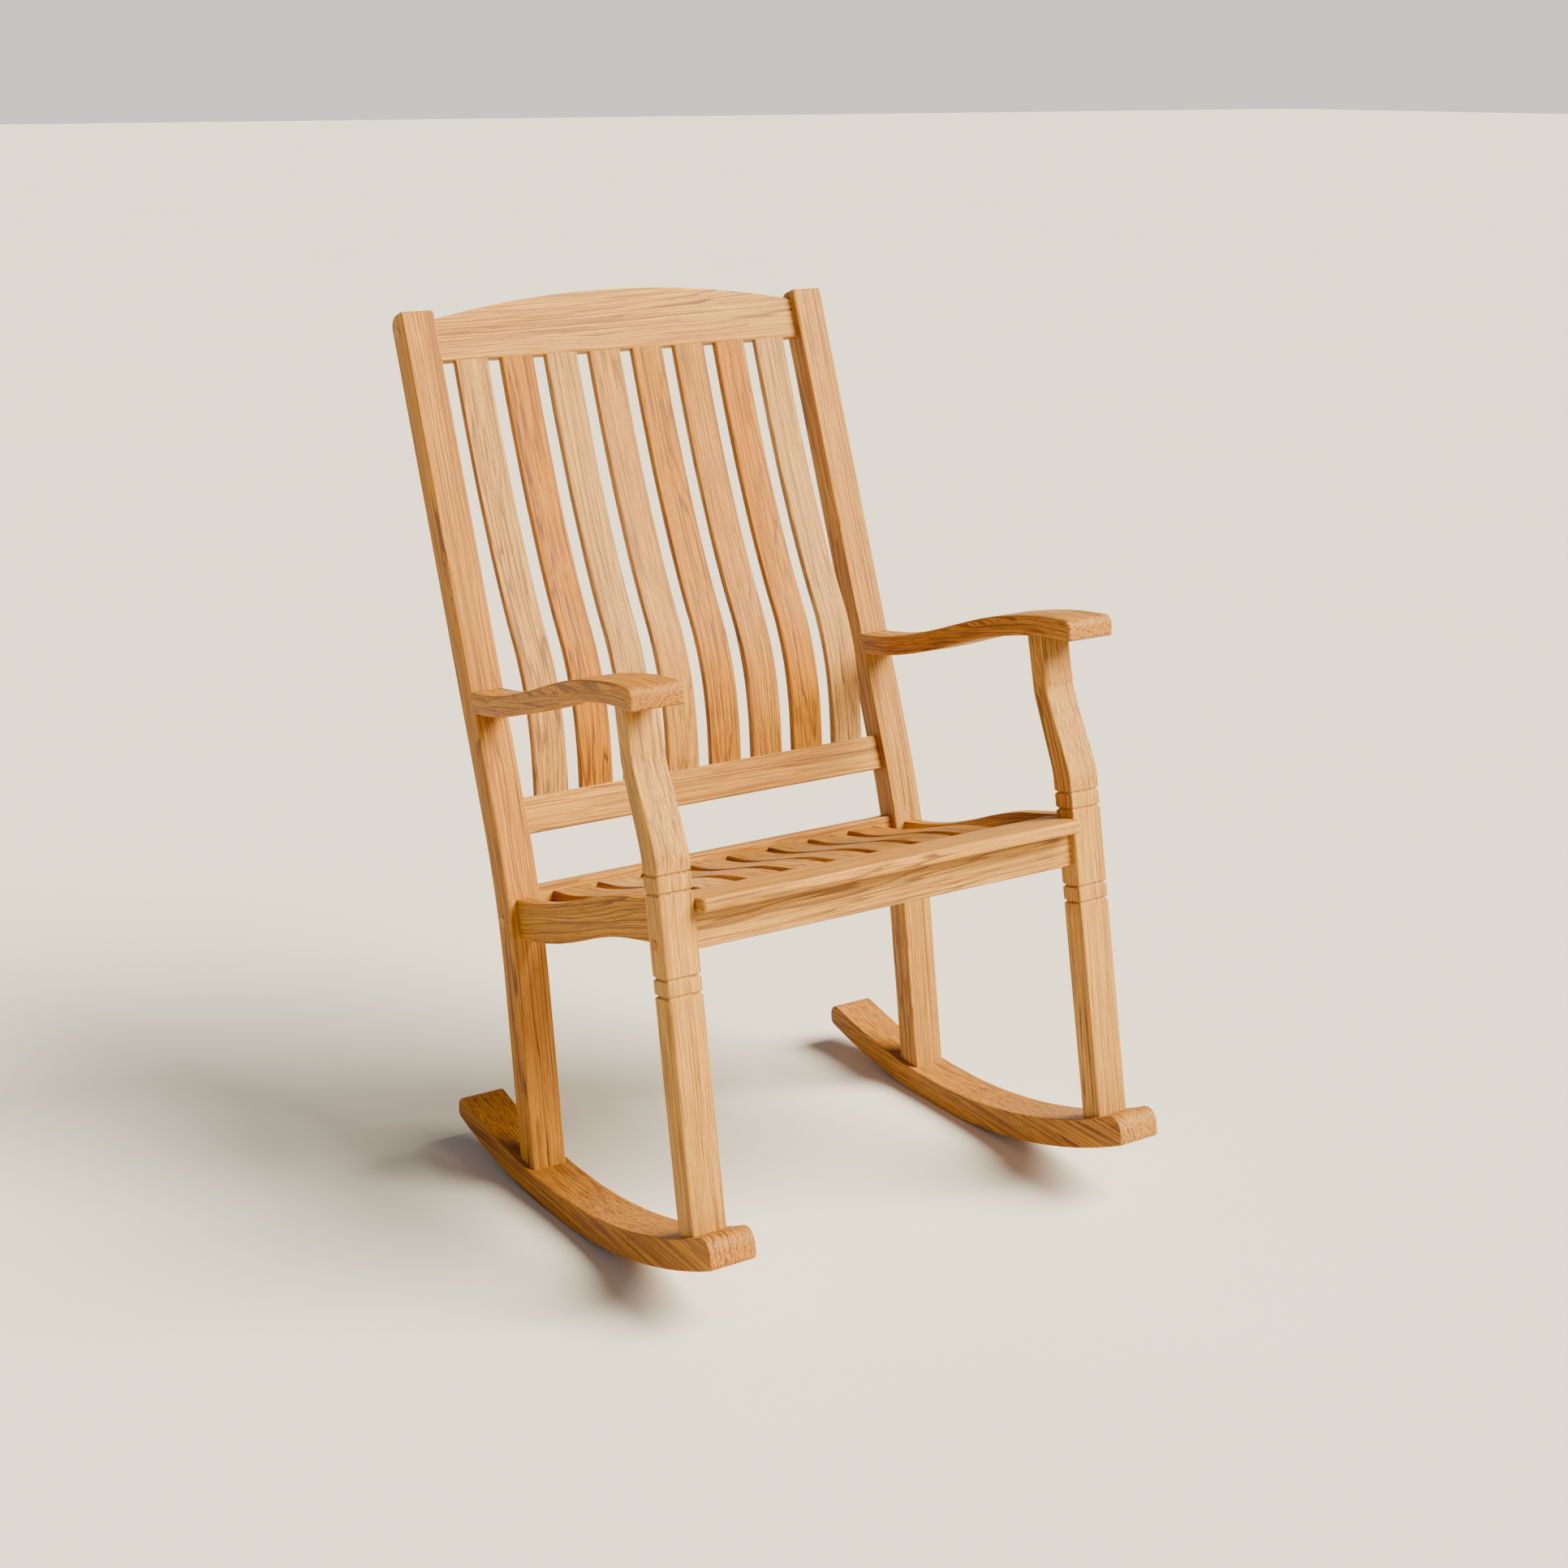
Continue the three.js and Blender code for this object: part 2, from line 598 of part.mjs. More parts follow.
// Rails across the seat.
const between = innerWidth / 2 - fit;
const apronFace = legFront + apronSetBack;
const apronTop = seatHeight - seatThickness - fit;
const boardBand = sideSolid(strip(seatBoardLine(), fit, seatThickness + fit), -innerWidth, innerWidth);
let apron = box([-between, apronFace, apronTop - apronHeight],
  [between, apronFace + apronThickness, apronTop]);
let rearRail = box([-between, rearRailFace, seatHeight - rearRailTop - rearRailHeight],
  [between, rearRailFace + rearRailThickness, seatHeight - rearRailTop]);

// Front seat board, notched round the legs.
const boardHalf = sideRailInner - fit;
const boardOutline = strip(seatBoardLine(), 0, seatThickness, [boardNoseRadius, 3, 0, 0]);
let board = sideSolid(boardOutline, -boardHalf, boardHalf);
for (const [, side] of bothSides) board = board.subtract(grownLeg(side));
const boardAhead = legFront - 2 * boardOverhang;
board = board.subtract(box([-outerFace, boardAhead, 0], [-between, frontLegBack, armHeight]));
board = board.subtract(box([between, boardAhead, 0], [outerFace, frontLegBack, armHeight]));
keep('front_seat_board', board, wood.honey);

// Seat slats: butted to the board, housed in the rear rail, and carried on two cleats.
const grownLine = seatSlatLine(housing + fit).map((at) => point(at.x, at.y + fit));
const grownSlat = (low, high) => sideSolid(slab(grownLine, seatThickness + 2 * fit), low, high);
for (let index = 0; index < slatCount; index += 1) {
  const low = slatMiddle(index, seatSlatWidth) - seatSlatWidth / 2;
  const high = low + seatSlatWidth;
  const slat = sideSolid(slab(seatSlatLine(housing), seatThickness), low, high);
  keep(`seat_slat_${index + 1}`, slat, wood.golden);
  rearRail = rearRail.subtract(grownSlat(low - fit, high + fit));
}
const cleatAt = (half, front, rear, seat) => box(
  [-half, front, seat - seatThickness - cleatHeight], [half, rear, seat - seatThickness / 2])
  .subtract(grownSlat(-innerWidth, innerWidth)).subtract(boardBand);
keep('front_cleat', cleatAt(boardHalf, boardRear - frontCleatWidth / 2, boardRear + frontCleatWidth / 2,
  seatHeight - slatDrop), wood.brown);
keep('rear_cleat', cleatAt(between, rearRailFace - rearCleatWidth - fit, rearRailFace - fit,
  seatSlatLine()[18].y), wood.brown);

// Back: crest rail, lower rail and the slats tenoned into both.
const half = innerWidth / 2 - fit;
let crest = backRail(crestOutline(), crestThickness);
let lowerRail = backRail([
  point(-half, lowerRailTop - lowerRailHeight), point(half, lowerRailTop - lowerRailHeight),
  point(half, lowerRailTop), point(-half, lowerRailTop)], lowerRailThickness);
for (let index = 0; index < slatCount; index += 1) {
  const slat = backSlat(index);
  keep(`back_slat_${index + 1}`, slat.whole, wood.golden);
  lowerRail = lowerRail.subtract(slat.mortises[0]);
  crest = crest.subtract(slat.mortises[1]);
}
for (const [, side] of bothSides) {
  lowerRail = lowerRail.add(lowerRailTenon(side, 0));
  crest = crest.subtract(peg(side, crestPeg, fit));
  apron = apron.subtract(peg(side, frontPeg, fit));
  rearRail = rearRail.subtract(peg(side, rearPeg, fit));
}
keep('front_apron', apron.subtract(boardBand), wood.honey);
keep('rear_seat_rail', rearRail, wood.golden);
keep('crest_rail', crest, wood.golden);
keep('lower_back_rail', lowerRail, wood.honey);

// The level chair hangs under the rockers' centre, and leans about it.
const level = new THREE.Group();
level.position.z = -rockerRadius;
for (const [name, { body, colour }] of pieces) {
  const material = new THREE.MeshStandardMaterial({ color: colour, roughness: 0.55, metalness: 0 });
  const mesh = new THREE.Mesh(toGeometry(body), material);
  mesh.name = name;
  level.add(mesh);
}
const leaning = new THREE.Group();
leaning.rotation.x = -radians(restLean);
leaning.add(level);

// The whole chair stands on z = 0 with its middle over the origin.
const chair = new THREE.Group();
chair.add(leaning);
chair.updateMatrixWorld(true);
const extent = new THREE.Box3().setFromObject(chair, true);
leaning.position.set(0, -(extent.min.y + extent.max.y) / 2, -extent.min.z);
chair.updateMatrixWorld(true);

export default chair;
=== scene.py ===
import bpy, bmesh, json, math, random
from mathutils import Vector, Matrix


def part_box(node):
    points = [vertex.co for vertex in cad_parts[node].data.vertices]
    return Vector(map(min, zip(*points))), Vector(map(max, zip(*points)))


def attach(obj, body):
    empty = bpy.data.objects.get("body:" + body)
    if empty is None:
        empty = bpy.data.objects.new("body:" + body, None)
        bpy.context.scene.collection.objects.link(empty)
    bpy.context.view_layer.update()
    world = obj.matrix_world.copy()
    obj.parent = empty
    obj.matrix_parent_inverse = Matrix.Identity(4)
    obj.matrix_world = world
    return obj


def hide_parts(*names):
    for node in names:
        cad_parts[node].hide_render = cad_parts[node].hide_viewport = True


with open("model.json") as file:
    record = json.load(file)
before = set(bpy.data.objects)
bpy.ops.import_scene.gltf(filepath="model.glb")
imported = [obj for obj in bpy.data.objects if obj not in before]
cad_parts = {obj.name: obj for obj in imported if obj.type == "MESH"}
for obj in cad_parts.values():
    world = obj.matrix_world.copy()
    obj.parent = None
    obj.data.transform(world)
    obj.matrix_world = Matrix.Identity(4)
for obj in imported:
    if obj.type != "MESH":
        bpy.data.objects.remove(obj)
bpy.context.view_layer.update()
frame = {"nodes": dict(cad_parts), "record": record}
record = frame["record"]
mm = 0.001

# The chair is drawn level, in millimetres, then leans back about the centre of its rockers.
chair = {
    "innerWidth": 542, "legWidth": 45, "legBack": -154.5, "legDepth": 33, "seatReach": 360.5,
    "seatHeight": 432, "armHeight": 653, "postLength": 744, "kneeHeight": 396, "postLean": 10.34,
    "restLean": 10, "slats": 8, "slatEdgeGap": 23, "buried": 2.5, "gap": 0.3,
}
rockerSize = {
    "radius": 870, "width": 60, "thickness": 34.5, "thinning": 11, "front": 234.5, "rear": 392,
    "restFlat": 4, "step": 0.75, "noseTop": 16, "noseUnder": 7, "tailTop": 13, "tailUnder": 10,
    "arris": 2.2, "tones": {"left": 0.50, "right": 0.38},
}
restMount = next(m for m in record["mounts"] if m["name"] == "rocker_rest_left")["pos_m"]
halfFlat = math.radians(rockerSize["restFlat"] / 2)
pivot = Vector((0, restMount[1], rockerSize["radius"] * mm * math.cos(halfFlat)))
leanTurn = Matrix.Rotation(-math.radians(chair["restLean"]), 4, "X")
innerFace = chair["innerWidth"] / 2
outerFace = innerFace + chair["legWidth"]
legMiddle = (innerFace + outerFace) / 2
legFront = chair["legBack"] - chair["legDepth"]
kneeY = chair["legBack"] + chair["seatReach"]


def toWorld(p):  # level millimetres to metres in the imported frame
    return leanTurn @ (Vector(p) * mm - Vector((0, 0, rockerSize["radius"] * mm))) + pivot


def pt(a, b):
    return Vector((a, b))


def lerp(a, b, t):
    return a + (b - a) * t


# Outlines, as lists of flat points.
def curveThrough(points, steps):
    out = []
    last = len(points) - 1
    for step in range(steps + 1):
        at = last * step / steps
        i = min(int(at), last - 1)
        t = at - i
        p0, p1, p2, p3 = points[max(i - 1, 0)], points[i], points[i + 1], points[min(i + 2, last)]
        v0, v1 = (p2 - p0) / 2, (p3 - p1) / 2
        cubed, squared = 2 * p1 - 2 * p2 + v0 + v1, 3 * p2 - 3 * p1 - 2 * v0 - v1
        out.append(cubed * t ** 3 + squared * t ** 2 + v0 * t + p1)
    return out


def turned(v, angle):
    c, s = math.cos(angle), math.sin(angle)
    return pt(v.x * c - v.y * s, v.x * s + v.y * c)


def roundedCorner(before, corner, after, radius, steps=6):
    toBefore, toAfter = (before - corner).normalized(), (after - corner).normalized()
    half = math.acos(max(-1, min(1, toBefore.dot(toAfter)))) / 2
    centre = corner + (toBefore + toAfter).normalized() * (radius / math.sin(half))
    start = corner + toBefore * (radius / math.tan(half)) - centre
    cross = toAfter.x * toBefore.y - toAfter.y * toBefore.x
    turn = math.copysign(math.pi - 2 * half, cross)
    return [turned(start, turn * step / steps) + centre for step in range(steps + 1)]


def corner(before, at, after, radius):
    return roundedCorner(before, at, after, radius) if radius > 0 else [at]


def filleted(points, radii):
    out = []
    for i, at in enumerate(points):
        out += corner(points[i - 1], at, points[(i + 1) % len(points)], radii[i])
    return out


def clearOf(side, a, b):  # a side without the points that its rounded ends take
    return [p for p in side[1:-1] if (p - side[0]).length > a * 1.3 and (p - side[-1]).length > b * 1.3]


def strip(line, ahead, behind, radii):  # radii: start left, start right, end right, end left
    left, right = [], []
    for i, at in enumerate(line):
        along = (line[min(i + 1, len(line) - 1)] - line[max(i - 1, 0)]).normalized()
        side = pt(-along.y, along.x)
        left.append(at + side * ahead)
        right.append(at - side * behind)
    right.reverse()
    return (corner(right[-1], left[0], left[1], radii[0]) + clearOf(left, radii[0], radii[3])
            + corner(left[-2], left[-1], right[0], radii[3])
            + corner(left[-1], right[0], right[1], radii[2])
            + clearOf(right, radii[2], radii[1]) + corner(right[-2], right[-1], left[0], radii[1]))


def slab(line, depth, radius):  # under side a copy of the top line, ends upright
    under = [pt(p.x, p.y - depth) for p in line]
    outline = under + list(reversed(line))
    radii = [0] * len(outline)
    for i in (0, len(line) - 1, len(line), len(outline) - 1):
        radii[i] = radius
    return filleted(outline, radii)


def inset(outline, distance):
    out = []
    for i, at in enumerate(outline):
        before, after = outline[i - 1], outline[(i + 1) % len(outline)]
        a, b = (at - before).normalized(), (after - at).normalized()
        na, nb = pt(-a.y, a.x), pt(-b.y, b.x)
        out.append(at + (na + nb) * (distance / max(0.35, 1 + na.dot(nb))))
    return out


# Timber: an outline in (a, b) given thickness along c, with its long arrises eased.
def timber(outline, thickness, arris, steps=4):
    area = sum(p.x * q.y - q.x * p.y for p, q in zip(outline, outline[1:] + outline[:1]))
    if area < 0:
        outline = list(reversed(outline))
    bm = bmesh.new()
    # The rounded arris rows carry a mark that peaks halfway round the edge: rubbed wear and a painted
    # highlight.
    wear = bm.verts.layers.float.new("wear")
    levels = []
    for k in range(steps + 1):
        t = k / steps * math.pi / 2
        levels.append((arris * (1 - math.sin(t)), arris * (1 - math.cos(t)), math.sin(2 * t)))
    levels += [(by, thickness - c, wornAndHighlit) for by, c, wornAndHighlit in reversed(levels)]
    rings = []
    for by, c, wornAndHighlit in levels:
        ring = [bm.verts.new((p.x, p.y, c)) for p in inset(outline, by)]
        for v in ring:
            v[wear] = wornAndHighlit
        rings.append(ring)
    count = len(outline)
    for low, high in zip(rings, rings[1:]):
        for k in range(count):
            n = (k + 1) % count
            bm.faces.new((low[k], low[n], high[n], high[k]))
    bm.faces.new(list(reversed(rings[0])))
    bm.faces.new(rings[-1])
    return bm


def cutAcross(bm, axis, values):  # extra edges across the timber, so that it can bend or be grooved
    normal = [0, 0, 0]
    normal[axis] = 1
    for value in values:
        at = [0, 0, 0]
        at[axis] = value
        everything = bm.verts[:] + bm.edges[:] + bm.faces[:]
        bmesh.ops.bisect_plane(bm, geom=everything, plane_co=at, plane_no=normal)


# Grain: where each point lay in the log, in metres, with x up the trunk and the heart on the x axis.
def grainFrom(direction, seed, heart=(70, 55), about=(0, 0, 0)):
    rng = random.Random(seed)
    up = Vector(direction).normalized()
    side = Vector((1, 0, 0)) if abs(up.x) < 0.9 else Vector((0, 1, 0))
    side = (side - up * side.dot(up)).normalized()
    face = up.cross(side)
    shift = Vector((rng.uniform(-4000, 4000), heart[0] * rng.uniform(0.7, 1.5) * rng.choice((-1, 1)),
                    heart[1] * rng.uniform(0.6, 1.5) * rng.choice((-1, 1))))
    centre = Vector(about)

    def at(p):
        d = p - centre
        return (Vector((d.dot(up), d.dot(side), d.dot(face))) + shift) * mm
    return at


# The grain mostly follows a curved piece, whose line holds (y, z) points from one end to the other.
def straightened(grain, line, upright, share=0.9):
    pairs = [(q.y, q.x) if upright else (q.x, q.y) for q in line]
    (firstKey, firstValue), (lastKey, lastValue) = pairs[0], pairs[-1]

    def at(p):
        key = min(max(p.z if upright else p.y, firstKey), lastKey)
        for low, high in zip(pairs, pairs[1:]):
            if key <= high[0]:
                break
        value = lerp(low[1], high[1], (key - low[0]) / (high[0] - low[0]))
        chord = lerp(firstValue, lastValue, (key - firstKey) / (lastKey - firstKey))
        off = share * (value - chord)
        return grain(p - Vector((0, off, 0) if upright else (0, 0, off)))
    return at


looks = {}


def makePiece(name, bm, place, slot, nodes, grain, board):
    layer = bm.verts.layers.float_vector.new("grain")
    tone = bm.verts.layers.float.new("board")
    for v in bm.verts:
        level = Vector(place(*v.co))
        v[layer] = grain(level)
        v[tone] = board
        v.co = toWorld(level)
    bmesh.ops.recalc_face_normals(bm, faces=bm.faces[:])
    mesh = bpy.data.meshes.new(name)
    bm.to_mesh(mesh)
    bm.free()
    mesh.shade_smooth()
    piece = bpy.data.objects.new(name, mesh)
    bpy.context.scene.collection.objects.link(piece)
    if slot:
        piece.data.materials.append(looks[slot])
    if nodes:
        settle(piece, nodes)
    return piece


def settle(piece, nodes):
    weighted = piece.modifiers.new("flatFaces", "WEIGHTED_NORMAL")
    weighted.weight = 100
    weighted.keep_sharp = True
    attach(piece, "root")
    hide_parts(*nodes)


bothSides = (("left", 1), ("right", -1))


def sidePlace(side, inner):  # (y, z, outwards) to level coordinates, on one side of the chair
    return lambda a, b, c: (side * (inner + c), a, b)


def acrossPlace(low):  # (y, z, along x)
    return lambda a, b, c: (low + c, a, b)


# Wood: three tones of each slot and the spacing of its growth rings in millimetres.
slotLooks = {
    "post_wood": {"light": (0.570, 0.279, 0.036), "middle": (0.396, 0.159, 0.026),
                  "dark": (0.105, 0.033, 0.009), "rings": 4.0},
    "leg_wood": {"light": (0.586, 0.290, 0.037), "middle": (0.409, 0.170, 0.026),
                 "dark": (0.109, 0.034, 0.009), "rings": 3.6},
    "rocker_wood": {"light": (0.539, 0.257, 0.035), "middle": (0.362, 0.142, 0.025),
                    "dark": (0.091, 0.028, 0.009), "rings": 4.4},
    "arm_wood": {"light": (0.539, 0.257, 0.035), "middle": (0.362, 0.143, 0.025),
                 "dark": (0.091, 0.029, 0.009), "rings": 3.8},
    "rail_wood": {"light": (0.578, 0.290, 0.037), "middle": (0.403, 0.167, 0.026),
                  "dark": (0.109, 0.034, 0.009), "rings": 4.6},
    "seat_slat_wood": {"light": (0.555, 0.272, 0.036), "middle": (0.376, 0.150, 0.025),
                       "dark": (0.096, 0.030, 0.009), "rings": 4.2},
    "back_slat_wood": {"light": (0.547, 0.269, 0.036), "middle": (0.368, 0.147, 0.025),
                       "dark": (0.091, 0.030, 0.009), "rings": 3.9},
    "peg_wood": {"light": (0.52, 0.245, 0.045), "middle": (0.43, 0.19, 0.030),
                 "dark": (0.17, 0.060, 0.010), "rings": 1.6},
    "inner_wood": {"light": (0.509, 0.254, 0.039), "middle": (0.341, 0.147, 0.028),
                   "dark": (0.096, 0.034, 0.010), "rings": 4.0},
}

# How strongly the growth rings and fibres show, how boards differ in tone, how pale the arrises go (rubbed
# wear and a painted highlight), and the surface.
woodFinish = {
    "late": 0.92, "fibre": 0.62, "threads": 0.55, "pores": 0.85, "rubbedAndHighlit": 0.35, "rubbedAndHighlitLift": 1.15,
    "hue": (0.488, 0.506), "saturation": (1.10, 0.92), "value": (0.86, 1.12),
    "roughness": (0.52, 0.64), "gloss": 0.16, "bump": 0.30, "bumpDepth": 0.0004,
}


def woodMaterial(name, look, fromObject=False):
    mat = bpy.data.materials.new(name)
    mat.use_nodes = True
    nodes, links = mat.node_tree.nodes, mat.node_tree.links
    nodes.clear()

    def add(kind, **values):
        node = nodes.new(kind)
        for key, value in values.items():
            setattr(node, key, value)
        return node

    def put(socket, value):
        if isinstance(value, bpy.types.NodeSocket):
            links.new(value, socket)
        else:
            socket.default_value = value

    def maths(operation, a, b=None):
        node = add("ShaderNodeMath", operation=operation)
        for socket, value in zip(node.inputs, (a, b)):
            if value is not None:
                put(socket, value)
        return node.outputs[0]

    def stretched(vector, scale):
        node = add("ShaderNodeMapping")
        put(node.inputs["Vector"], vector)
        node.inputs["Scale"].default_value = scale
        return node.outputs[0]

    def noise(vector, detail=3.0, roughness=0.55):
        node = add("ShaderNodeTexNoise")
        put(node.inputs["Vector"], vector)
        node.inputs["Scale"].default_value = 1.0
        node.inputs["Detail"].default_value = detail
        node.inputs["Roughness"].default_value = roughness
        return node.outputs["Fac"]

    def mapped(value, low, high, toLow=0.0, toHigh=1.0, smooth=False):
        node = add("ShaderNodeMapRange", interpolation_type="SMOOTHSTEP" if smooth else "LINEAR")
        put(node.inputs["Value"], value)
        for key, number in (("From Min", low), ("From Max", high), ("To Min", toLow), ("To Max", toHigh)):
            node.inputs[key].default_value = number
        return node.outputs["Result"]

    def blend(factor, a, b):  # the Mix node's colour sockets are numbers 6, 7 and 2
        node = add("ShaderNodeMix", data_type="RGBA")
        put(node.inputs[0], factor)
        put(node.inputs[6], a)
        put(node.inputs[7], b)
        return node.outputs[2]

    def rgba(colour):
        return (*colour, 1)

    if fromObject:
        coords = add("ShaderNodeTexCoord").outputs["Object"]
        board = wear = None
    else:
        coords = add("ShaderNodeAttribute", attribute_name="grain").outputs["Vector"]
        board = add("ShaderNodeAttribute", attribute_name="board").outputs["Fac"]
        wear = add("ShaderNodeAttribute", attribute_name="wear").outputs["Fac"]

    # Growth rings, wandering a little up the trunk.
    wander = mapped(noise(stretched(coords, (2.2, 14, 14)), 2.0), 0.25, 0.75, -0.0075, 0.0075)
    ripple = mapped(noise(stretched(coords, (9, 60, 60)), 2.0), 0.25, 0.75, -0.0009, 0.0009)
    uneven = mapped(noise(stretched(coords, (1.0, 110, 110)), 2.0), 0.25, 0.75, -0.0026, 0.0026)
    split = add("ShaderNodeSeparateXYZ")
    put(split.inputs[0], coords)
    squares = [maths("POWER", split.outputs[axis], 2.0) for axis in (1, 2)]
    heart = maths("SQRT", maths("ADD", *squares))
    radius = maths("ADD", maths("ADD", heart, wander), maths("ADD", ripple, uneven))
    spacing = look["rings"] * mm
    year = maths("DIVIDE", radius, spacing)
    ringAt = maths("FRACT", year)
    yearNoise = add("ShaderNodeTexWhiteNoise", noise_dimensions="1D")
    put(yearNoise.inputs["W"], maths("FLOOR", year))
    strength = mapped(yearNoise.outputs["Value"], 0.0, 1.0, 0.35, 1.0)
    darkens, ends = mapped(ringAt, 0.55, 0.90, smooth=True), mapped(ringAt, 1.0, 0.94, smooth=True)
    late = maths("MULTIPLY", darkens, ends)
    late = maths("MULTIPLY", late, strength)

    # Fibres and pores along the trunk.
    streak = noise(stretched(coords, (3.5, 260, 260)), 3.0, 0.6)
    fibre = noise(stretched(coords, (14, 1100, 1100)), 2.0, 0.6)
    poreNoise = noise(stretched(coords, (55, 1900, 1900)), 1.0, 0.5)
    pores = maths("MULTIPLY", mapped(poreNoise, 0.60, 0.72, smooth=True),
                  mapped(ringAt, 0.75, 0.1, 0.25, 1.0))
    threads = mapped(noise(stretched(coords, (2.5, 430, 430)), 1.0), 0.54, 0.66, smooth=True)
    cloud = noise(stretched(coords, (1.6, 20, 20)), 2.0)

    body = blend(mapped(streak, 0.30, 0.72), rgba(look["light"]), rgba(look["middle"]))
    body = blend(mapped(cloud, 0.35, 0.75, 0.0, 0.35), body, rgba(look["middle"]))
    body = blend(maths("MULTIPLY", late, woodFinish["late"]), body, rgba(look["dark"]))
    body = blend(mapped(fibre, 0.44, 0.72, 0.0, woodFinish["fibre"]), body, rgba(look["dark"]))
    body = blend(maths("MULTIPLY", threads, woodFinish["threads"]), body, rgba(look["dark"]))
    body = blend(maths("MULTIPLY", pores, woodFinish["pores"]), body, rgba(look["dark"]))
    if board is not None:
        shade = add("ShaderNodeHueSaturation")
        put(shade.inputs["Hue"], mapped(board, 0.0, 1.0, *woodFinish["hue"]))
        put(shade.inputs["Saturation"], mapped(board, 0.0, 1.0, *woodFinish["saturation"]))
        put(shade.inputs["Value"], mapped(board, 0.0, 1.0, *woodFinish["value"]))
        shade.inputs["Fac"].default_value = 1.0
        put(shade.inputs["Color"], body)
        body = shade.outputs["Color"]
        # Arrises are paled in patches: partly rubbed wear, partly a painted highlight where rounded edges
        # catch the light.
        patchy = mapped(noise(stretched(coords, (18, 90, 90)), 3.0), 0.38, 0.62, 0.1, 0.8)
        rubbedAndHighlit = maths("MULTIPLY", wear, patchy)
        paler = tuple(min(1, woodFinish["rubbedAndHighlitLift"] * c) for c in look["light"])
        body = blend(maths("MULTIPLY", rubbedAndHighlit, woodFinish["rubbedAndHighlit"]), body, rgba(paler))

    rough = mapped(cloud, 0.3, 0.7, *woodFinish["roughness"])
    rough = maths("ADD", rough, maths("MULTIPLY", pores, 0.25))
    rough = maths("ADD", rough, maths("MULTIPLY", late, -0.06))
    height = maths("ADD", maths("MULTIPLY", pores, -0.8), maths("MULTIPLY", fibre, 0.35))
    height = maths("ADD", height, maths("MULTIPLY", late, 0.30))
    bump = add("ShaderNodeBump")
    bump.inputs["Strength"].default_value = woodFinish["bump"]
    bump.inputs["Distance"].default_value = woodFinish["bumpDepth"]
    put(bump.inputs["Height"], height)

    shader = add("ShaderNodeBsdfPrincipled")
    put(shader.inputs["Base Color"], body)
    put(shader.inputs["Roughness"], rough)
    put(shader.inputs["Normal"], bump.outputs["Normal"])
    shader.inputs["Specular IOR Level"].default_value = woodFinish["gloss"]
    out = add("ShaderNodeOutputMaterial")
    links.new(shader.outputs["BSDF"], out.inputs["Surface"])
    return mat


for slotName, slotLook in slotLooks.items():
    looks[slotName] = woodMaterial(slotName + "Look", slotLook)
hiddenLook = woodMaterial("dowelLook", slotLooks["inner_wood"], fromObject=True)
print("wood materials made", len(looks) + 1)


# Rockers.
def rockerTop(y):
    radius = rockerSize["radius"] - rockerSize["thickness"]
    return rockerSize["radius"] - math.sqrt(radius ** 2 - (y - rockerSize["thinning"]) ** 2)


def rockerOutline():
    s = rockerSize
    nose = -math.degrees(math.asin(s["front"] / s["radius"]))
    tail = math.degrees(math.asin(s["rear"] / s["radius"]))
    ahead, behind = chair["restLean"] - s["restFlat"] / 2, chair["restLean"] + s["restFlat"] / 2
    frontSteps, rearSteps = round((ahead - nose) / s["step"]), round((tail - behind) / s["step"])
    angles = [lerp(nose, ahead, k / frontSteps) for k in range(frontSteps + 1)]
    angles += [lerp(behind, tail, k / rearSteps) for k in range(rearSteps + 1)]

    topRadius = s["radius"] - s["thickness"]
    noseTop = -math.degrees(math.asin((s["front"] + s["thinning"]) / topRadius))

    def arc(radius, centre, along):
        turns = [math.radians(a) for a in along]
        return [pt(centre + radius * math.sin(a), s["radius"] - radius * math.cos(a)) for a in turns]
    under = arc(s["radius"], 0, angles)
    top = list(reversed(arc(topRadius, s["thinning"], [noseTop] + angles[1:])))
    return (corner(top[-1], under[0], under[2], s["noseUnder"])
            + clearOf(under, s["noseUnder"], s["tailUnder"])
            + corner(under[-3], under[-1], top[0], s["tailUnder"])
            + corner(under[-1], top[0], top[2], s["tailTop"])
            + clearOf(top, s["tailTop"], s["noseTop"])
            + corner(top[-3], top[-1], under[0], s["noseTop"]))


for name, side in bothSides:
    grain = grainFrom((0, 1, 0.22), 11 + side, heart=(30, 95), about=(0, 80, 40))
    makePiece("rocker_wood_" + name, timber(rockerOutline(), rockerSize["width"], rockerSize["arris"]),
              sidePlace(side, legMiddle - rockerSize["width"] / 2), "rocker_wood", ["rocker_" + name],
              grain, rockerSize["tones"][name])
print("rockers made")

# Rear posts.
postSize = {"depth": 36, "bend": 1000, "bendSteps": 16, "footBack": 11, "footSunk": 2, "footTop": 75,
            "topRear": 16, "topFront": 5, "arris": 2.6, "tones": {"left": 0.62, "right": 0.40}}
leanAngle = math.radians(chair["postLean"])
upPost = pt(math.sin(leanAngle), math.cos(leanAngle))
aheadOfPost = pt(-upPost.y, upPost.x)
knee = pt(kneeY, chair["kneeHeight"])


def onPost(along, ahead):
    return knee + upPost * along + aheadOfPost * ahead


def postMiddle():
    footY = kneeY + postSize["footBack"]
    foot = pt(footY, rockerTop(footY) - postSize["footSunk"])
    top = onPost(chair["postLength"], 0)
    return [foot] + roundedCorner(foot, knee, top, postSize["bend"], postSize["bendSteps"]) + [top]


def postGrain(seed):
    line = postMiddle()
    rng = random.Random(seed)
    shift = Vector((rng.uniform(-3000, 3000), rng.uniform(45, 80), rng.uniform(40, 80)))

    def at(p):
        for low, high in zip(line, line[1:]):
            if p.z <= high.y or high is line[-1]:
                break
        t = (p.z - low.y) / (high.y - low.y)
        return (Vector((p.z, p.x, p.y - lerp(low.x, high.x, t))) + shift) * mm
    return at


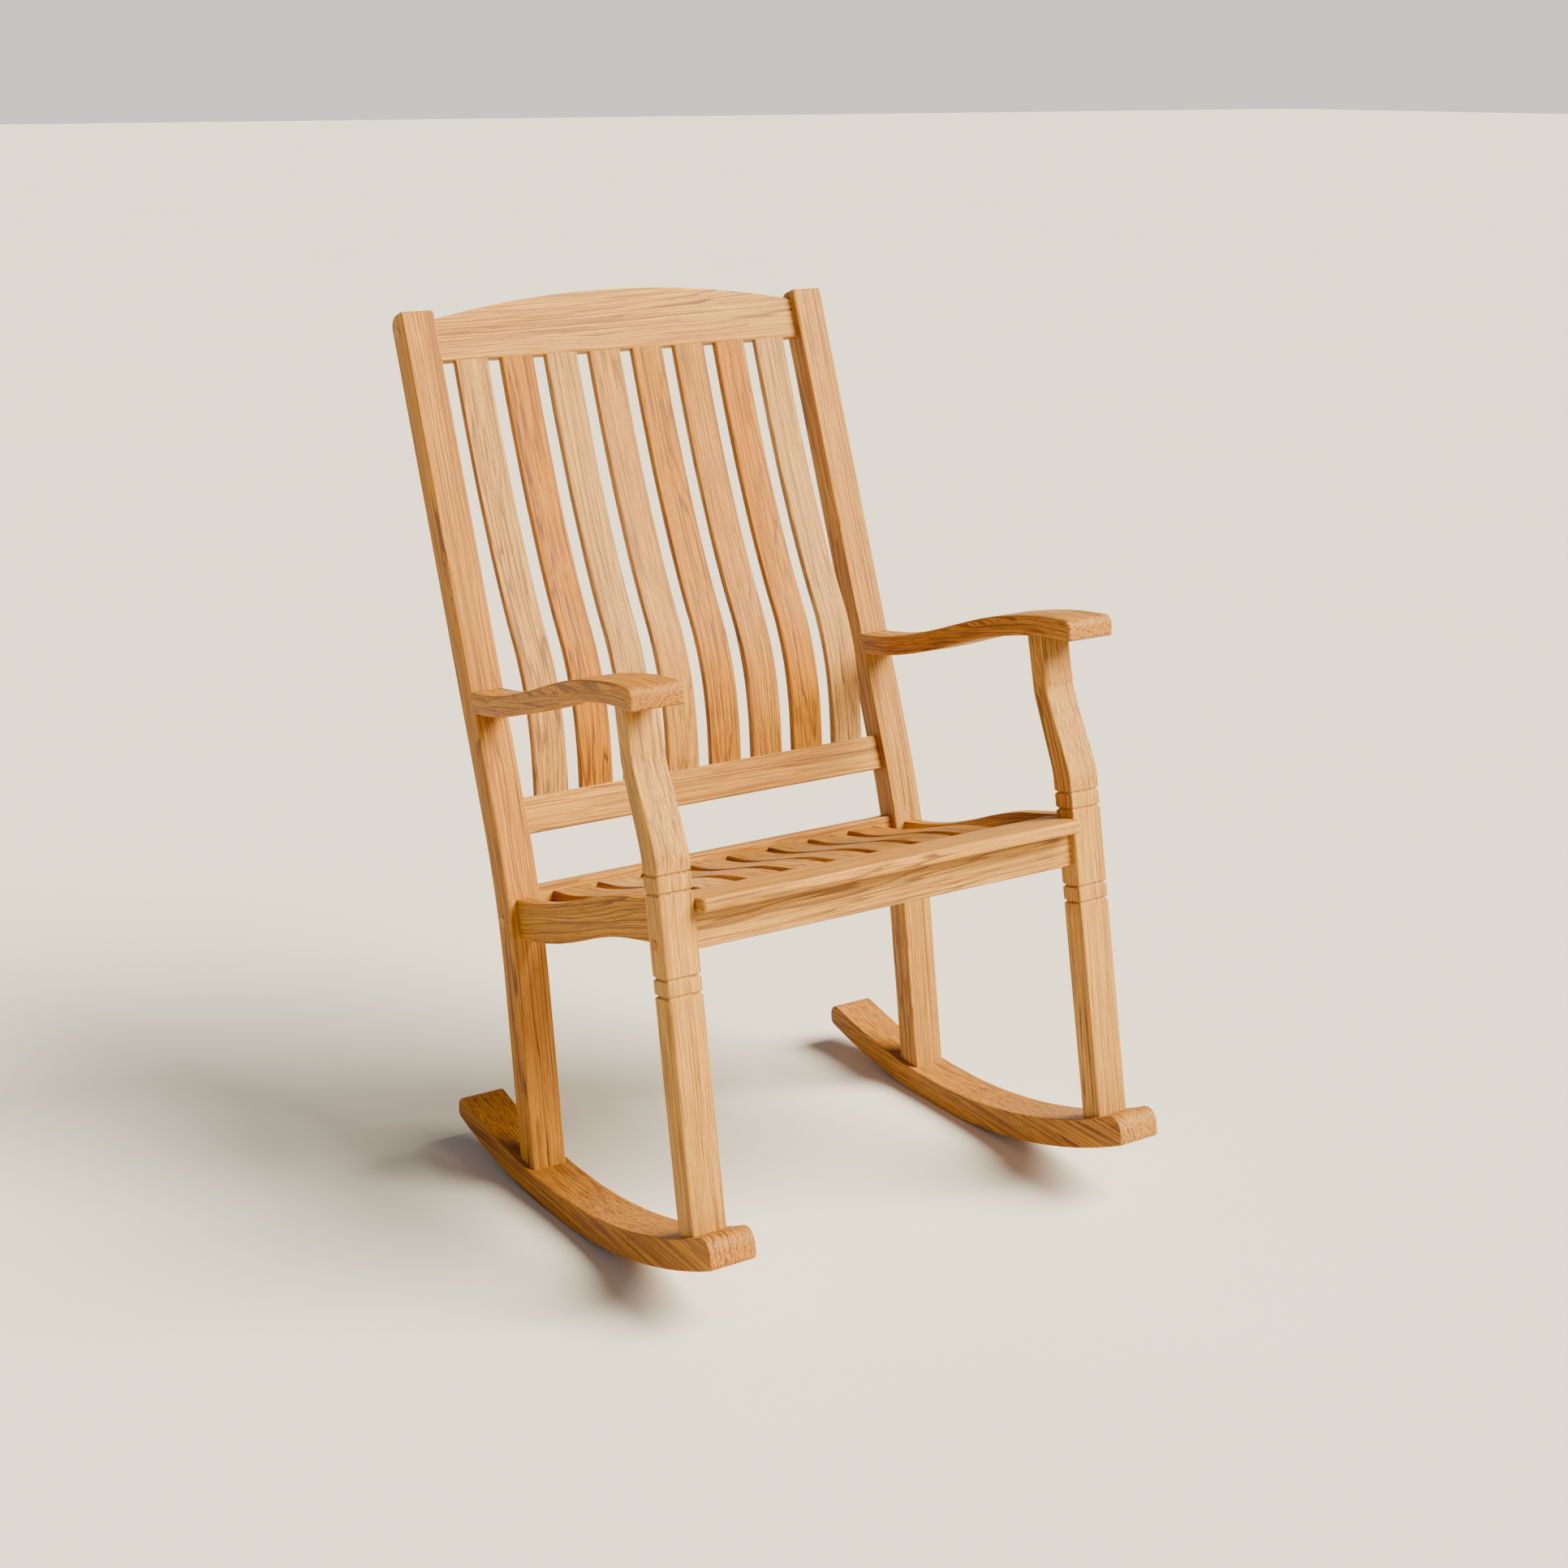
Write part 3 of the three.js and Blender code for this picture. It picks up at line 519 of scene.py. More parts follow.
for name, side in bothSides:
    outline = strip(postMiddle(), postSize["depth"] / 2, postSize["depth"] / 2,
                    (0, 0, postSize["topRear"], postSize["topFront"]))
    outline = [pt(p.x, p.y if p.y > postSize["footTop"] else rockerTop(p.x) - chair["buried"])
               for p in outline]
    makePiece("rear_post_wood_" + name, timber(outline, chair["legWidth"], postSize["arris"]),
              sidePlace(side, innerFace), "post_wood", ["rear_post_" + name], postGrain(21 + side),
              postSize["tones"][name])
print("rear posts made")

# Front legs.
legSize = {"curveStart": 474, "curveEnd": 600, "curveBack": 31, "curveShares": (0, 0.14, 0.5, 0.86, 1),
           "curveSteps": 20, "topDepth": 26, "topBack": 2, "intoArm": 6, "arris": 2.4,
           "grooves": (326.5, 346.5, 442.5, 463), "grooveDepth": 2.8, "grooveHalf": 2.6,
           "grainLevels": range(60, 661, 20), "tones": {"left": 0.72, "right": 0.66}}


def legOutline(top):
    def sweep(back):
        points = [pt(back * s * s * (3 - 2 * s), lerp(legSize["curveStart"], legSize["curveEnd"], s))
                  for s in legSize["curveShares"]]
        return curveThrough(points, legSize["curveSteps"])
    back = chair["legBack"]
    shift = legSize["curveBack"] + legSize["topBack"]
    outline = [pt(y, rockerTop(y) - chair["buried"]) for y in (back, legFront)]
    outline += [pt(legFront + p.x, p.y) for p in sweep(legSize["curveBack"])]
    outline += [pt(legFront + shift, top), pt(legFront + shift + legSize["topDepth"], top)]
    rear = sweep(legSize["curveBack"] - chair["legDepth"] + legSize["topDepth"])
    return outline + [pt(back + p.x, p.y) for p in reversed(rear)]


def grooveLeg(bm):
    half = legSize["grooveHalf"]
    for height in legSize["grooves"]:
        cutAcross(bm, 1, [height + half * k / 3 for k in range(-3, 4)])
    middleY, middleX = (legFront + chair["legBack"]) / 2, chair["legWidth"] / 2
    wear = bm.verts.layers.float["wear"]
    for v in bm.verts:
        away = min(abs(v.co.y - height) for height in legSize["grooves"])
        if away < half:
            deep = legSize["grooveDepth"] * (1 - away / half)
            v.co.x -= math.copysign(deep, v.co.x - middleY)
            v.co.z -= math.copysign(deep, v.co.z - middleX)
        # the groove's lips are paled: rubbed wear and a painted highlight
        elif away < half + 0.5:
            v[wear] = 0.8


def legSweep(z):  # how far back the leg's front has swept at a height, for the grain
    share = (z - legSize["curveStart"]) / (legSize["curveEnd"] - legSize["curveStart"])
    return legSize["curveBack"] * max(0, min(1, share))


legLine = [pt(legFront + legSweep(z), z) for z in legSize["grainLevels"]]
for name, side in bothSides:
    bm = timber(legOutline(chair["armHeight"] + legSize["intoArm"]), chair["legWidth"], legSize["arris"])
    grooveLeg(bm)
    grain = grainFrom((0, 0.05, 1), 31 + side, heart=(85, 30), about=(side * legMiddle, -171, 300))
    makePiece("front_leg_wood_" + name, bm, sidePlace(side, innerFace), "leg_wood", ["front_leg_" + name],
              straightened(grain, legLine, True), legSize["tones"][name])
print("front legs made")

# Arms.
armSize = {"thickness": 26, "frontWidth": 69, "overhang": 25.5, "nose": 11, "noseUnder": 3.6, "arris": 3,
           "rise": (22.5, 28.5, 29, 25.5, 17.5, 8.5, 1.5, -2, 0), "steps": 54, "follow": 0.8,
           "tones": {"left": 0.55, "right": 0.42}}
armNose = legFront - armSize["overhang"]


def postFaceAt(z):
    return onPost((z - chair["kneeHeight"]) / math.cos(leanAngle), postSize["depth"] / 2).x


armRear = postFaceAt(chair["armHeight"])


def armOutline():
    rise = armSize["rise"]
    line = [pt(lerp(armNose, armRear, i / (len(rise) - 1)), chair["armHeight"] + h)
            for i, h in enumerate(rise)]
    line.append(pt(armRear + postSize["depth"] / 2, chair["armHeight"]))
    kept = [p for p in curveThrough(line, armSize["steps"]) if p.x < armRear + chair["buried"]]
    return kept, strip(kept, 0, armSize["thickness"], (armSize["nose"], armSize["noseUnder"], 0, 0))


def armPlace(side):
    def place(a, b, c):
        wide = lerp(armSize["frontWidth"], chair["legWidth"], (a - armNose) / (armRear - armNose))
        return (side * (innerFace + c * wide / armSize["frontWidth"]), a, b)
    return place


armTop, armShape = armOutline()
for name, side in bothSides:
    grain = grainFrom((0.03, 1, 0.01), 41 + side, heart=(25, 80), about=(side * 300, 0, 660))
    makePiece("arm_wood_" + name, timber(armShape, armSize["frontWidth"], armSize["arris"]), armPlace(side),
              "arm_wood", ["arm_" + name], straightened(grain, armTop, False, armSize["follow"]),
              armSize["tones"][name])
print("arms made")

# Seat.
seatSize = {"slatWidth": 48.5, "thickness": 16, "overhang": 18, "boardRear": -65, "drop": 17.7,
            "housing": 2, "railSetBack": 10, "postRake": 6, "slatFall": (0, 0.5, 3.7, 10, 16, 19.3, 18),
            "steps": 36, "arris": 2.4}
sideRailSize = {"setIn": 12, "thickness": 19, "height": 49, "arris": 1.8, "startAhead": 2, "endPast": 6,
                "fall": (0.8, 1.8, 4.5, 12, 22.5, 31, 35.8, 36.2), "follow": 0.6,
                "tones": {"left": 0.42, "right": 0.34}}
postFrontAtSeat = kneeY + seatSize["postRake"] - postSize["depth"] / 2
rearRailFace = postFrontAtSeat + seatSize["railSetBack"]


def fallingLine(fall, start, end, steps, drop=0):
    count = len(fall) - 1
    return curveThrough([pt(lerp(start, end, i / count), chair["seatHeight"] - drop - f)
                         for i, f in enumerate(fall)], steps)


boardSize = {"fall": (0, 0, 2, 8.6, 17.7), "steps": 28, "arris": 4.2, "arrisSteps": 5, "corner": 5.5,
             "tone": 0.62}
boardHalf = outerFace - sideRailSize["setIn"] - sideRailSize["thickness"] - chair["gap"]
between = innerFace - chair["gap"]
boardFront = legFront - seatSize["overhang"]
boardLine = fallingLine(boardSize["fall"], boardFront, seatSize["boardRear"] - chair["gap"],
                        boardSize["steps"])


def boardTop(y):
    for low, high in zip(boardLine, boardLine[1:]):
        if y <= high.x or high is boardLine[-1]:
            return lerp(low.y, high.y, (y - low.x) / (high.x - low.x))


legRear = chair["legBack"] + chair["gap"]
boardRear = boardLine[-1].x
boardPlan = [pt(-between, boardFront), pt(between, boardFront), pt(between, legRear),
             pt(boardHalf, legRear), pt(boardHalf, boardRear), pt(-boardHalf, boardRear),
             pt(-boardHalf, legRear), pt(-between, legRear)]
boardMesh = timber(filleted(boardPlan, [boardSize["corner"]] * 2 + [0] * 6), seatSize["thickness"],
                   boardSize["arris"], boardSize["arrisSteps"])
cutAcross(boardMesh, 1, [p.x for p in boardLine[1:-1]])
makePiece("front_seat_board_wood", boardMesh,
          lambda a, b, c: (a, b, boardTop(b) - seatSize["thickness"] + c), "rail_wood",
          ["front_seat_board"], grainFrom((1, 0.015, 0), 51, heart=(90, 40), about=(0, -135, 424)),
          boardSize["tone"])


sideRailLine = fallingLine(sideRailSize["fall"], chair["legBack"] - sideRailSize["startAhead"],
                           postFrontAtSeat, seatSize["steps"])
sideRailLine.append(pt(postFrontAtSeat + sideRailSize["endPast"], sideRailLine[-1].y))
for name, side in bothSides:
    rail = timber(slab(sideRailLine, sideRailSize["height"], 0), sideRailSize["thickness"],
                  sideRailSize["arris"])
    grain = grainFrom((0, 1, -0.12), 61 + side, heart=(40, 85), about=(side * 294, 20, 390))
    makePiece("side_rail_wood_" + name, rail,
              sidePlace(side, outerFace - sideRailSize["setIn"] - sideRailSize["thickness"]), "rail_wood",
              ["side_rail_" + name], straightened(grain, sideRailLine, False, sideRailSize["follow"]),
              sideRailSize["tones"][name])

railSize = {"apronSetBack": 9, "apronThickness": 28, "apronHeight": 43, "rearThickness": 20,
            "rearHeight": 50, "rearDrop": 27, "ease": 2.2, "arris": 1.2}
apronFace = legFront + railSize["apronSetBack"]
apronTop = chair["seatHeight"] - seatSize["thickness"] - chair["gap"]


def acrossRail(name, front, rear, top, height, node, seed, board, heart, half=None, slot="rail_wood"):
    half = half or innerFace + chair["buried"]
    outline = slab([pt(front, top), pt(rear, top)], height, railSize["ease"])
    makePiece(name, timber(outline, 2 * half, railSize["arris"]), acrossPlace(-half), slot, [node],
              grainFrom((1, 0.01, 0.012), seed, heart=heart, about=(0, front, top)), board)


acrossRail("front_apron_wood", apronFace, apronFace + railSize["apronThickness"], apronTop,
           railSize["apronHeight"], "front_apron", 71, 0.70, (110, 60))
acrossRail("rear_seat_rail_wood", rearRailFace, rearRailFace + railSize["rearThickness"],
           chair["seatHeight"] - railSize["rearDrop"], railSize["rearHeight"], "rear_seat_rail", 72, 0.5,
           (80, 60))

slatLine = fallingLine(seatSize["slatFall"], seatSize["boardRear"], rearRailFace, seatSize["steps"],
                       seatSize["drop"])
cleatSize = {"frontWidth": 60, "frontHeight": 18, "frontCorner": 2, "frontSteps": 10, "frontFall": 1.2,
             "frontGap": 0.4, "rearWidth": 24, "rearHeight": 20, "tone": 0.3}
cleatTop = slatLine[-1].y - seatSize["thickness"] - chair["gap"]
acrossRail("rear_cleat_wood", rearRailFace - cleatSize["rearWidth"] - chair["gap"],
           rearRailFace - chair["gap"], cleatTop, cleatSize["rearHeight"], "rear_cleat", 73,
           cleatSize["tone"], (80, 60), between, "inner_wood")
cleatStep = cleatSize["frontWidth"] / cleatSize["frontSteps"]
cleatLine = []  # under the seat board, then under the front ends of the slats
for k in range(cleatSize["frontSteps"] + 1):
    y = seatSize["boardRear"] - cleatSize["frontWidth"] / 2 + k * cleatStep
    past = k - cleatSize["frontSteps"] // 2
    above = boardTop(y) if past < 0 else slatLine[0].y - past * cleatSize["frontFall"]
    cleatLine.append(pt(y, above - seatSize["thickness"] - cleatSize["frontGap"]))
cleat = timber(slab(cleatLine, cleatSize["frontHeight"], cleatSize["frontCorner"]), 2 * boardHalf,
               railSize["arris"])
makePiece("front_cleat_wood", cleat, acrossPlace(-boardHalf), "inner_wood", ["front_cleat"],
          grainFrom((1, 0.01, 0), 74, about=(0, -65, 390)), cleatSize["tone"])
print("seat frame made")


# Rows of slats, with geometry nodes.
def named(sockets, name):  # the socket of that name that is in use
    return next(s for s in sockets if s.name == name and s.enabled)


def slatRowTree():
    tree = bpy.data.node_groups.new("slatRow", "GeometryNodeTree")
    face = tree.interface
    face.new_socket("Slat", in_out="INPUT", socket_type="NodeSocketGeometry")
    for label, kind in (("Count", "NodeSocketInt"), ("Pitch", "NodeSocketFloat"), ("Seed", "NodeSocketInt"),
                        ("Timber", "NodeSocketMaterial")):
        face.new_socket(label, in_out="INPUT", socket_type=kind)
    face.new_socket("Row", in_out="OUTPUT", socket_type="NodeSocketGeometry")
    nodes, links = tree.nodes, tree.links
    source, sink = nodes.new("NodeGroupInput"), nodes.new("NodeGroupOutput")

    def maths(operation, a, b):
        node = nodes.new("ShaderNodeMath")
        node.operation = operation
        for socket, value in zip(node.inputs, (a, b)):
            if isinstance(value, (int, float)):
                socket.default_value = value
            else:
                links.new(value, socket)
        return node.outputs[0]

    def along(value):
        node = nodes.new("ShaderNodeCombineXYZ")
        links.new(value, node.inputs[0])
        return node.outputs[0]

    def chance(kind, low, high, extra):
        node = nodes.new("FunctionNodeRandomValue")
        node.data_type = kind
        named(node.inputs, "Min").default_value = low
        named(node.inputs, "Max").default_value = high
        links.new(nodes.new("GeometryNodeInputIndex").outputs[0], node.inputs["ID"])
        links.new(maths("ADD", source.outputs["Seed"], extra), node.inputs["Seed"])
        return named(node.outputs, "Value")

    def store(geometry, name, kind, domain, value):
        node = nodes.new("GeometryNodeStoreNamedAttribute")
        node.data_type, node.domain = kind, domain
        node.inputs["Name"].default_value = name
        links.new(geometry, node.inputs["Geometry"])
        links.new(value, named(node.inputs, "Value"))
        return node.outputs[0]

    def fetch(name, kind):
        node = nodes.new("GeometryNodeInputNamedAttribute")
        node.data_type = kind
        node.inputs["Name"].default_value = name
        return named(node.outputs, "Attribute")

    line = nodes.new("GeometryNodeMeshLine")
    links.new(source.outputs["Count"], line.inputs["Count"])
    first = maths("MULTIPLY", maths("SUBTRACT", source.outputs["Count"], 1), -0.5)
    links.new(along(maths("MULTIPLY", first, source.outputs["Pitch"])), line.inputs["Start Location"])
    links.new(along(source.outputs["Pitch"]), line.inputs["Offset"])
    place = nodes.new("GeometryNodeInstanceOnPoints")
    links.new(line.outputs[0], place.inputs["Points"])
    links.new(source.outputs["Slat"], place.inputs["Instance"])
    row = store(place.outputs[0], "board", "FLOAT", "INSTANCE", chance("FLOAT", 0.05, 0.95, 0))
    row = store(row, "boardShift", "FLOAT_VECTOR", "INSTANCE",
                chance("FLOAT_VECTOR", (-3, -0.055, -0.05), (3, 0.055, 0.05), 7))
    real = nodes.new("GeometryNodeRealizeInstances")
    links.new(row, real.inputs[0])
    total = nodes.new("ShaderNodeVectorMath")
    links.new(fetch("grain", "FLOAT_VECTOR"), total.inputs[0])
    links.new(fetch("boardShift", "FLOAT_VECTOR"), total.inputs[1])
    cut = store(real.outputs[0], "grain", "FLOAT_VECTOR", "POINT", total.outputs[0])
    dress = nodes.new("GeometryNodeSetMaterial")
    links.new(cut, dress.inputs["Geometry"])
    links.new(source.outputs["Timber"], dress.inputs["Material"])
    links.new(dress.outputs[0], sink.inputs[0])
    return tree


def runTree(piece, tree, values):  # the tree's result as a plain mesh
    mod = piece.modifiers.new("row", "NODES")
    mod.node_group = tree
    for item in tree.interface.items_tree:
        if item.item_type == "SOCKET" and item.in_out == "INPUT" and item.name in values:
            mod[item.identifier] = values[item.name]
    bpy.context.view_layer.update()
    evaluated = piece.evaluated_get(bpy.context.evaluated_depsgraph_get())
    mesh = bpy.data.meshes.new_from_object(evaluated)
    mesh.name = piece.name
    piece.modifiers.remove(mod)
    piece.data = mesh
    mesh.shade_smooth()


slatTree = slatRowTree()


def slatPitch(width):
    return (chair["innerWidth"] - 2 * chair["slatEdgeGap"] - width) / (chair["slats"] - 1) * mm


def slatRow(name, bm, width, slot, node, grain, seed):
    row = makePiece(name, bm, acrossPlace(-width / 2), None, None, grain, 0.5)
    row.data.attributes.remove(row.data.attributes["board"])
    runTree(row, slatTree, {"Count": chair["slats"], "Pitch": slatPitch(width), "Seed": seed,
                            "Timber": looks[slot]})
    settle(row, ["%s_%d" % (node, k + 1) for k in range(chair["slats"])])


housed = pt(slatLine[-1].x + seatSize["housing"], slatLine[-1].y)
seatSlat = slab(slatLine + [housed], seatSize["thickness"], 0)
seatGrain = grainFrom((0, 1, -0.10), 81, heart=(20, 70), about=(0, 70, 400))
slatRow("seat_slats_wood", timber(seatSlat, seatSize["slatWidth"], seatSize["arris"]),
        seatSize["slatWidth"], "seat_slat_wood", "seat_slat", straightened(seatGrain, slatLine, False), 5)

backSize = {"slatWidth": 46, "slatThickness": 10.5, "faceAhead": 6.5, "lumbar": 24.5, "arris": 2.2,
            "bulge": (0, 0.62, 0.97, 0.94, 0.58, 0.3, 0.12, 0, -0.05, -0.05, 0), "steps": 60,
            "lowerTop": 120, "lowerHeight": 46, "lowerThickness": 20, "lowerArris": 2.4,
            "lowerTone": 0.5, "railAhead": 7.5, "crestBottom": 679, "crestEnds": 54, "crestRise": 28,
            "crestSteps": 48, "crestThickness": 19, "crestArris": 2.8, "crestTone": 0.62}


def backSlatLine():
    bulge = backSize["bulge"]
    line = [onPost(lerp(backSize["lowerTop"], backSize["crestBottom"], i / (len(bulge) - 1)),
                   backSize["faceAhead"] + share * backSize["lumbar"]) for i, share in enumerate(bulge)]
    curve = curveThrough(line, backSize["steps"])
    return ([onPost(backSize["lowerTop"] - chair["buried"], backSize["faceAhead"])] + curve
            + [onPost(backSize["crestBottom"] + chair["buried"], backSize["faceAhead"])])


backLine = backSlatLine()
backSlat = strip(backLine, 0, backSize["slatThickness"], (0, 0, 0, 0))
backGrain = grainFrom((0, upPost.x, upPost.y), 91, heart=(20, 62), about=(0, kneeY + 50, 800))
slatRow("back_slats_wood", timber(backSlat, backSize["slatWidth"], backSize["arris"]),
        backSize["slatWidth"], "back_slat_wood", "back_slat", straightened(backGrain, backLine, True), 12)
print("slats made")


# Back rails.
def backPlace(thickness):  # (x, along the post, forwards)
    def place(a, b, c):
        at = onPost(b, backSize["railAhead"] - thickness + c)
        return (a, at.x, at.y)
    return place


half = innerFace + chair["buried"]
crestTop = []
for k in range(backSize["crestSteps"] + 1):
    across = 1 - k / (backSize["crestSteps"] / 2)
    crestTop.append(pt(across * half, backSize["crestBottom"] + backSize["crestEnds"]
                       + backSize["crestRise"] * (1 - across ** 2)))
crest = [pt(-half, backSize["crestBottom"]), pt(half, backSize["crestBottom"])] + crestTop
makePiece("crest_rail_wood", timber(crest, backSize["crestThickness"], backSize["crestArris"]),
          backPlace(backSize["crestThickness"]), "rail_wood", ["crest_rail"],
          grainFrom((1, 0.0, 0.02), 101, heart=(45, 75), about=(0, 330, 1100)), backSize["crestTone"])
lowerTop, lowerUnder = backSize["lowerTop"], backSize["lowerTop"] - backSize["lowerHeight"]
lower = [pt(-half, lowerUnder), pt(half, lowerUnder), pt(half, lowerTop), pt(-half, lowerTop)]
makePiece("lower_back_rail_wood", timber(lower, backSize["lowerThickness"], backSize["lowerArris"]),
          backPlace(backSize["lowerThickness"]), "rail_wood", ["lower_back_rail"],
          grainFrom((1, 0.0, -0.01), 102, heart=(100, 35), about=(0, 218, 492)), backSize["lowerTone"])
print("back rails made")

# Pegs, with geometry nodes.
pegSize = {"radius": 6.5, "proud": 1.0, "buried": 4.0, "sides": 32}


def pegMesh():  # one peg end, pointing along +x
    radius, proud = pegSize["radius"] * mm, pegSize["proud"] * mm
    bm = bmesh.new()
    wear = bm.verts.layers.float.new("wear")
    grain = bm.verts.layers.float_vector.new("grain")
    profile = [(-pegSize["buried"] * mm, radius), (proud * 0.35, radius), (proud * 0.72, radius * 0.97),
               (proud * 0.92, radius * 0.88), (proud, radius * 0.6)]
    rings = []
    for x, r in profile:
        ring = []
        for k in range(pegSize["sides"]):
            t = 2 * math.pi * k / pegSize["sides"]
            ring.append(bm.verts.new((x, r * math.cos(t), r * math.sin(t))))
        rings.append(ring)
    for low, high in zip(rings, rings[1:]):
        for k in range(pegSize["sides"]):
            n = (k + 1) % pegSize["sides"]
            bm.faces.new((low[k], low[n], high[n], high[k]))
    bm.faces.new(list(reversed(rings[0])))
    bm.faces.new(rings[-1])
    for v in bm.verts:
        # the peg end's rim is paled: rubbed wear and a painted highlight
        v[wear] = 0.6 if v.co.x > proud * 0.5 and v.co.yz.length > radius * 0.8 else 0
        v[grain] = (v.co.x, v.co.y + 0.004, v.co.z + 0.006)  # the rings' middle is off the peg's
    bmesh.ops.recalc_face_normals(bm, faces=bm.faces[:])
    mesh = bpy.data.meshes.new("pegEnd")
    bm.to_mesh(mesh)
    bm.free()
    return bpy.data.objects.new("pegEnd", mesh)


def pegTree():
    tree = bpy.data.node_groups.new("pegEnds", "GeometryNodeTree")
    face = tree.interface
    for label, kind in (("Marks", "NodeSocketGeometry"), ("Peg", "NodeSocketObject"),
                        ("Seed", "NodeSocketInt"), ("Timber", "NodeSocketMaterial")):
        face.new_socket(label, in_out="INPUT", socket_type=kind)
    face.new_socket("Pegs", in_out="OUTPUT", socket_type="NodeSocketGeometry")
    nodes, links = tree.nodes, tree.links
    source, sink = nodes.new("NodeGroupInput"), nodes.new("NodeGroupOutput")
    peg = nodes.new("GeometryNodeObjectInfo")
    links.new(source.outputs["Peg"], peg.inputs["Object"])
    turn = nodes.new("GeometryNodeInputNamedAttribute")
    turn.data_type = "FLOAT_VECTOR"
    turn.inputs["Name"].default_value = "turn"
    tone = nodes.new("FunctionNodeRandomValue")
    tone.data_type = "FLOAT"
    links.new(nodes.new("GeometryNodeInputIndex").outputs[0], tone.inputs["ID"])
    links.new(source.outputs["Seed"], tone.inputs["Seed"])
    place = nodes.new("GeometryNodeInstanceOnPoints")
    links.new(source.outputs["Marks"], place.inputs["Points"])
    links.new(peg.outputs["Geometry"], place.inputs["Instance"])
    links.new(named(turn.outputs, "Attribute"), place.inputs["Rotation"])
    board = nodes.new("GeometryNodeStoreNamedAttribute")
    board.data_type, board.domain = "FLOAT", "INSTANCE"
    board.inputs["Name"].default_value = "board"
    links.new(place.outputs[0], board.inputs["Geometry"])
    links.new(named(tone.outputs, "Value"), named(board.inputs, "Value"))
    real = nodes.new("GeometryNodeRealizeInstances")
    links.new(board.outputs[0], real.inputs[0])
    dress = nodes.new("GeometryNodeSetMaterial")
    links.new(real.outputs[0], dress.inputs["Geometry"])
    links.new(source.outputs["Timber"], dress.inputs["Material"])
    links.new(dress.outputs[0], sink.inputs[0])
    return tree


pegEnd = pegMesh()
bpy.context.scene.collection.objects.link(pegEnd)
pegNodes = ["%s_%s" % (kind, name) for kind in ("crest_peg", "rear_seat_peg", "front_seat_peg")
            for name, _ in bothSides]
marks = bpy.data.meshes.new("pegEnds")
spots, turns = [], []
for node in pegNodes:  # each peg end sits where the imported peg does, on the outer face
    low, high = (Vector(p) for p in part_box(node))
    side = 1 if low.x + high.x > 0 else -1
    spots.append((side * outerFace * mm, (low.y + high.y) / 2, (low.z + high.z) / 2))
    turns.append((0, 0, 0 if side > 0 else math.pi))
marks.from_pydata(spots, [], [])
turnData = marks.attributes.new("turn", "FLOAT_VECTOR", "POINT")
turnData.data.foreach_set("vector", [c for t in turns for c in t])
pegs = bpy.data.objects.new("peg_ends_wood", marks)
bpy.context.scene.collection.objects.link(pegs)
runTree(pegs, pegTree(), {"Peg": pegEnd, "Seed": 3, "Timber": looks["peg_wood"]})
bpy.data.objects.remove(pegEnd)
settle(pegs, pegNodes)
print("pegs made")

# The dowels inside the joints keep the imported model's shape, and take a plain wood.
for node, obj in frame["nodes"].items():
    if "dowel" in node:
        for slot in obj.material_slots:
            slot.material = hiddenLook

# Floor, light and camera.
studio = {"floorReach": 60, "floor": (0.72, 0.68, 0.635), "floorCloud": 0.9, "floorDip": 0.95,
          "floorRoughness": 0.75, "floorGloss": 0.2, "skyStrength": 1.15, "lampReach": 2.5,
          "sky": ((0.10, (0.92, 0.88, 0.82)), (0.45, (0.07, 0.075, 0.085)))}
floorMesh = bpy.data.meshes.new("floor")
reach = studio["floorReach"]
floorMesh.from_pydata([(-reach, -reach, 0), (reach, -reach, 0), (reach, reach, 0), (-reach, reach, 0)], [],
                      [(0, 1, 2, 3)])
floor = bpy.data.objects.new("floor", floorMesh)
bpy.context.scene.collection.objects.link(floor)
plaster = bpy.data.materials.new("plasterFloor")
plaster.use_nodes = True
shader = plaster.node_tree.nodes["Principled BSDF"]
cloudy = plaster.node_tree.nodes.new("ShaderNodeTexNoise")
cloudy.inputs["Scale"].default_value = studio["floorCloud"]
cloudy.inputs["Detail"].default_value = 3
where = plaster.node_tree.nodes.new("ShaderNodeTexCoord")
plaster.node_tree.links.new(where.outputs["Object"], cloudy.inputs["Vector"])
ramp = plaster.node_tree.nodes.new("ShaderNodeValToRGB")
ramp.color_ramp.elements[0].position, ramp.color_ramp.elements[1].position = 0.3, 0.7
ramp.color_ramp.elements[0].color = (*(studio["floorDip"] * c for c in studio["floor"]), 1)
ramp.color_ramp.elements[1].color = (*studio["floor"], 1)
plaster.node_tree.links.new(cloudy.outputs["Fac"], ramp.inputs["Fac"])
plaster.node_tree.links.new(ramp.outputs["Color"], shader.inputs["Base Color"])
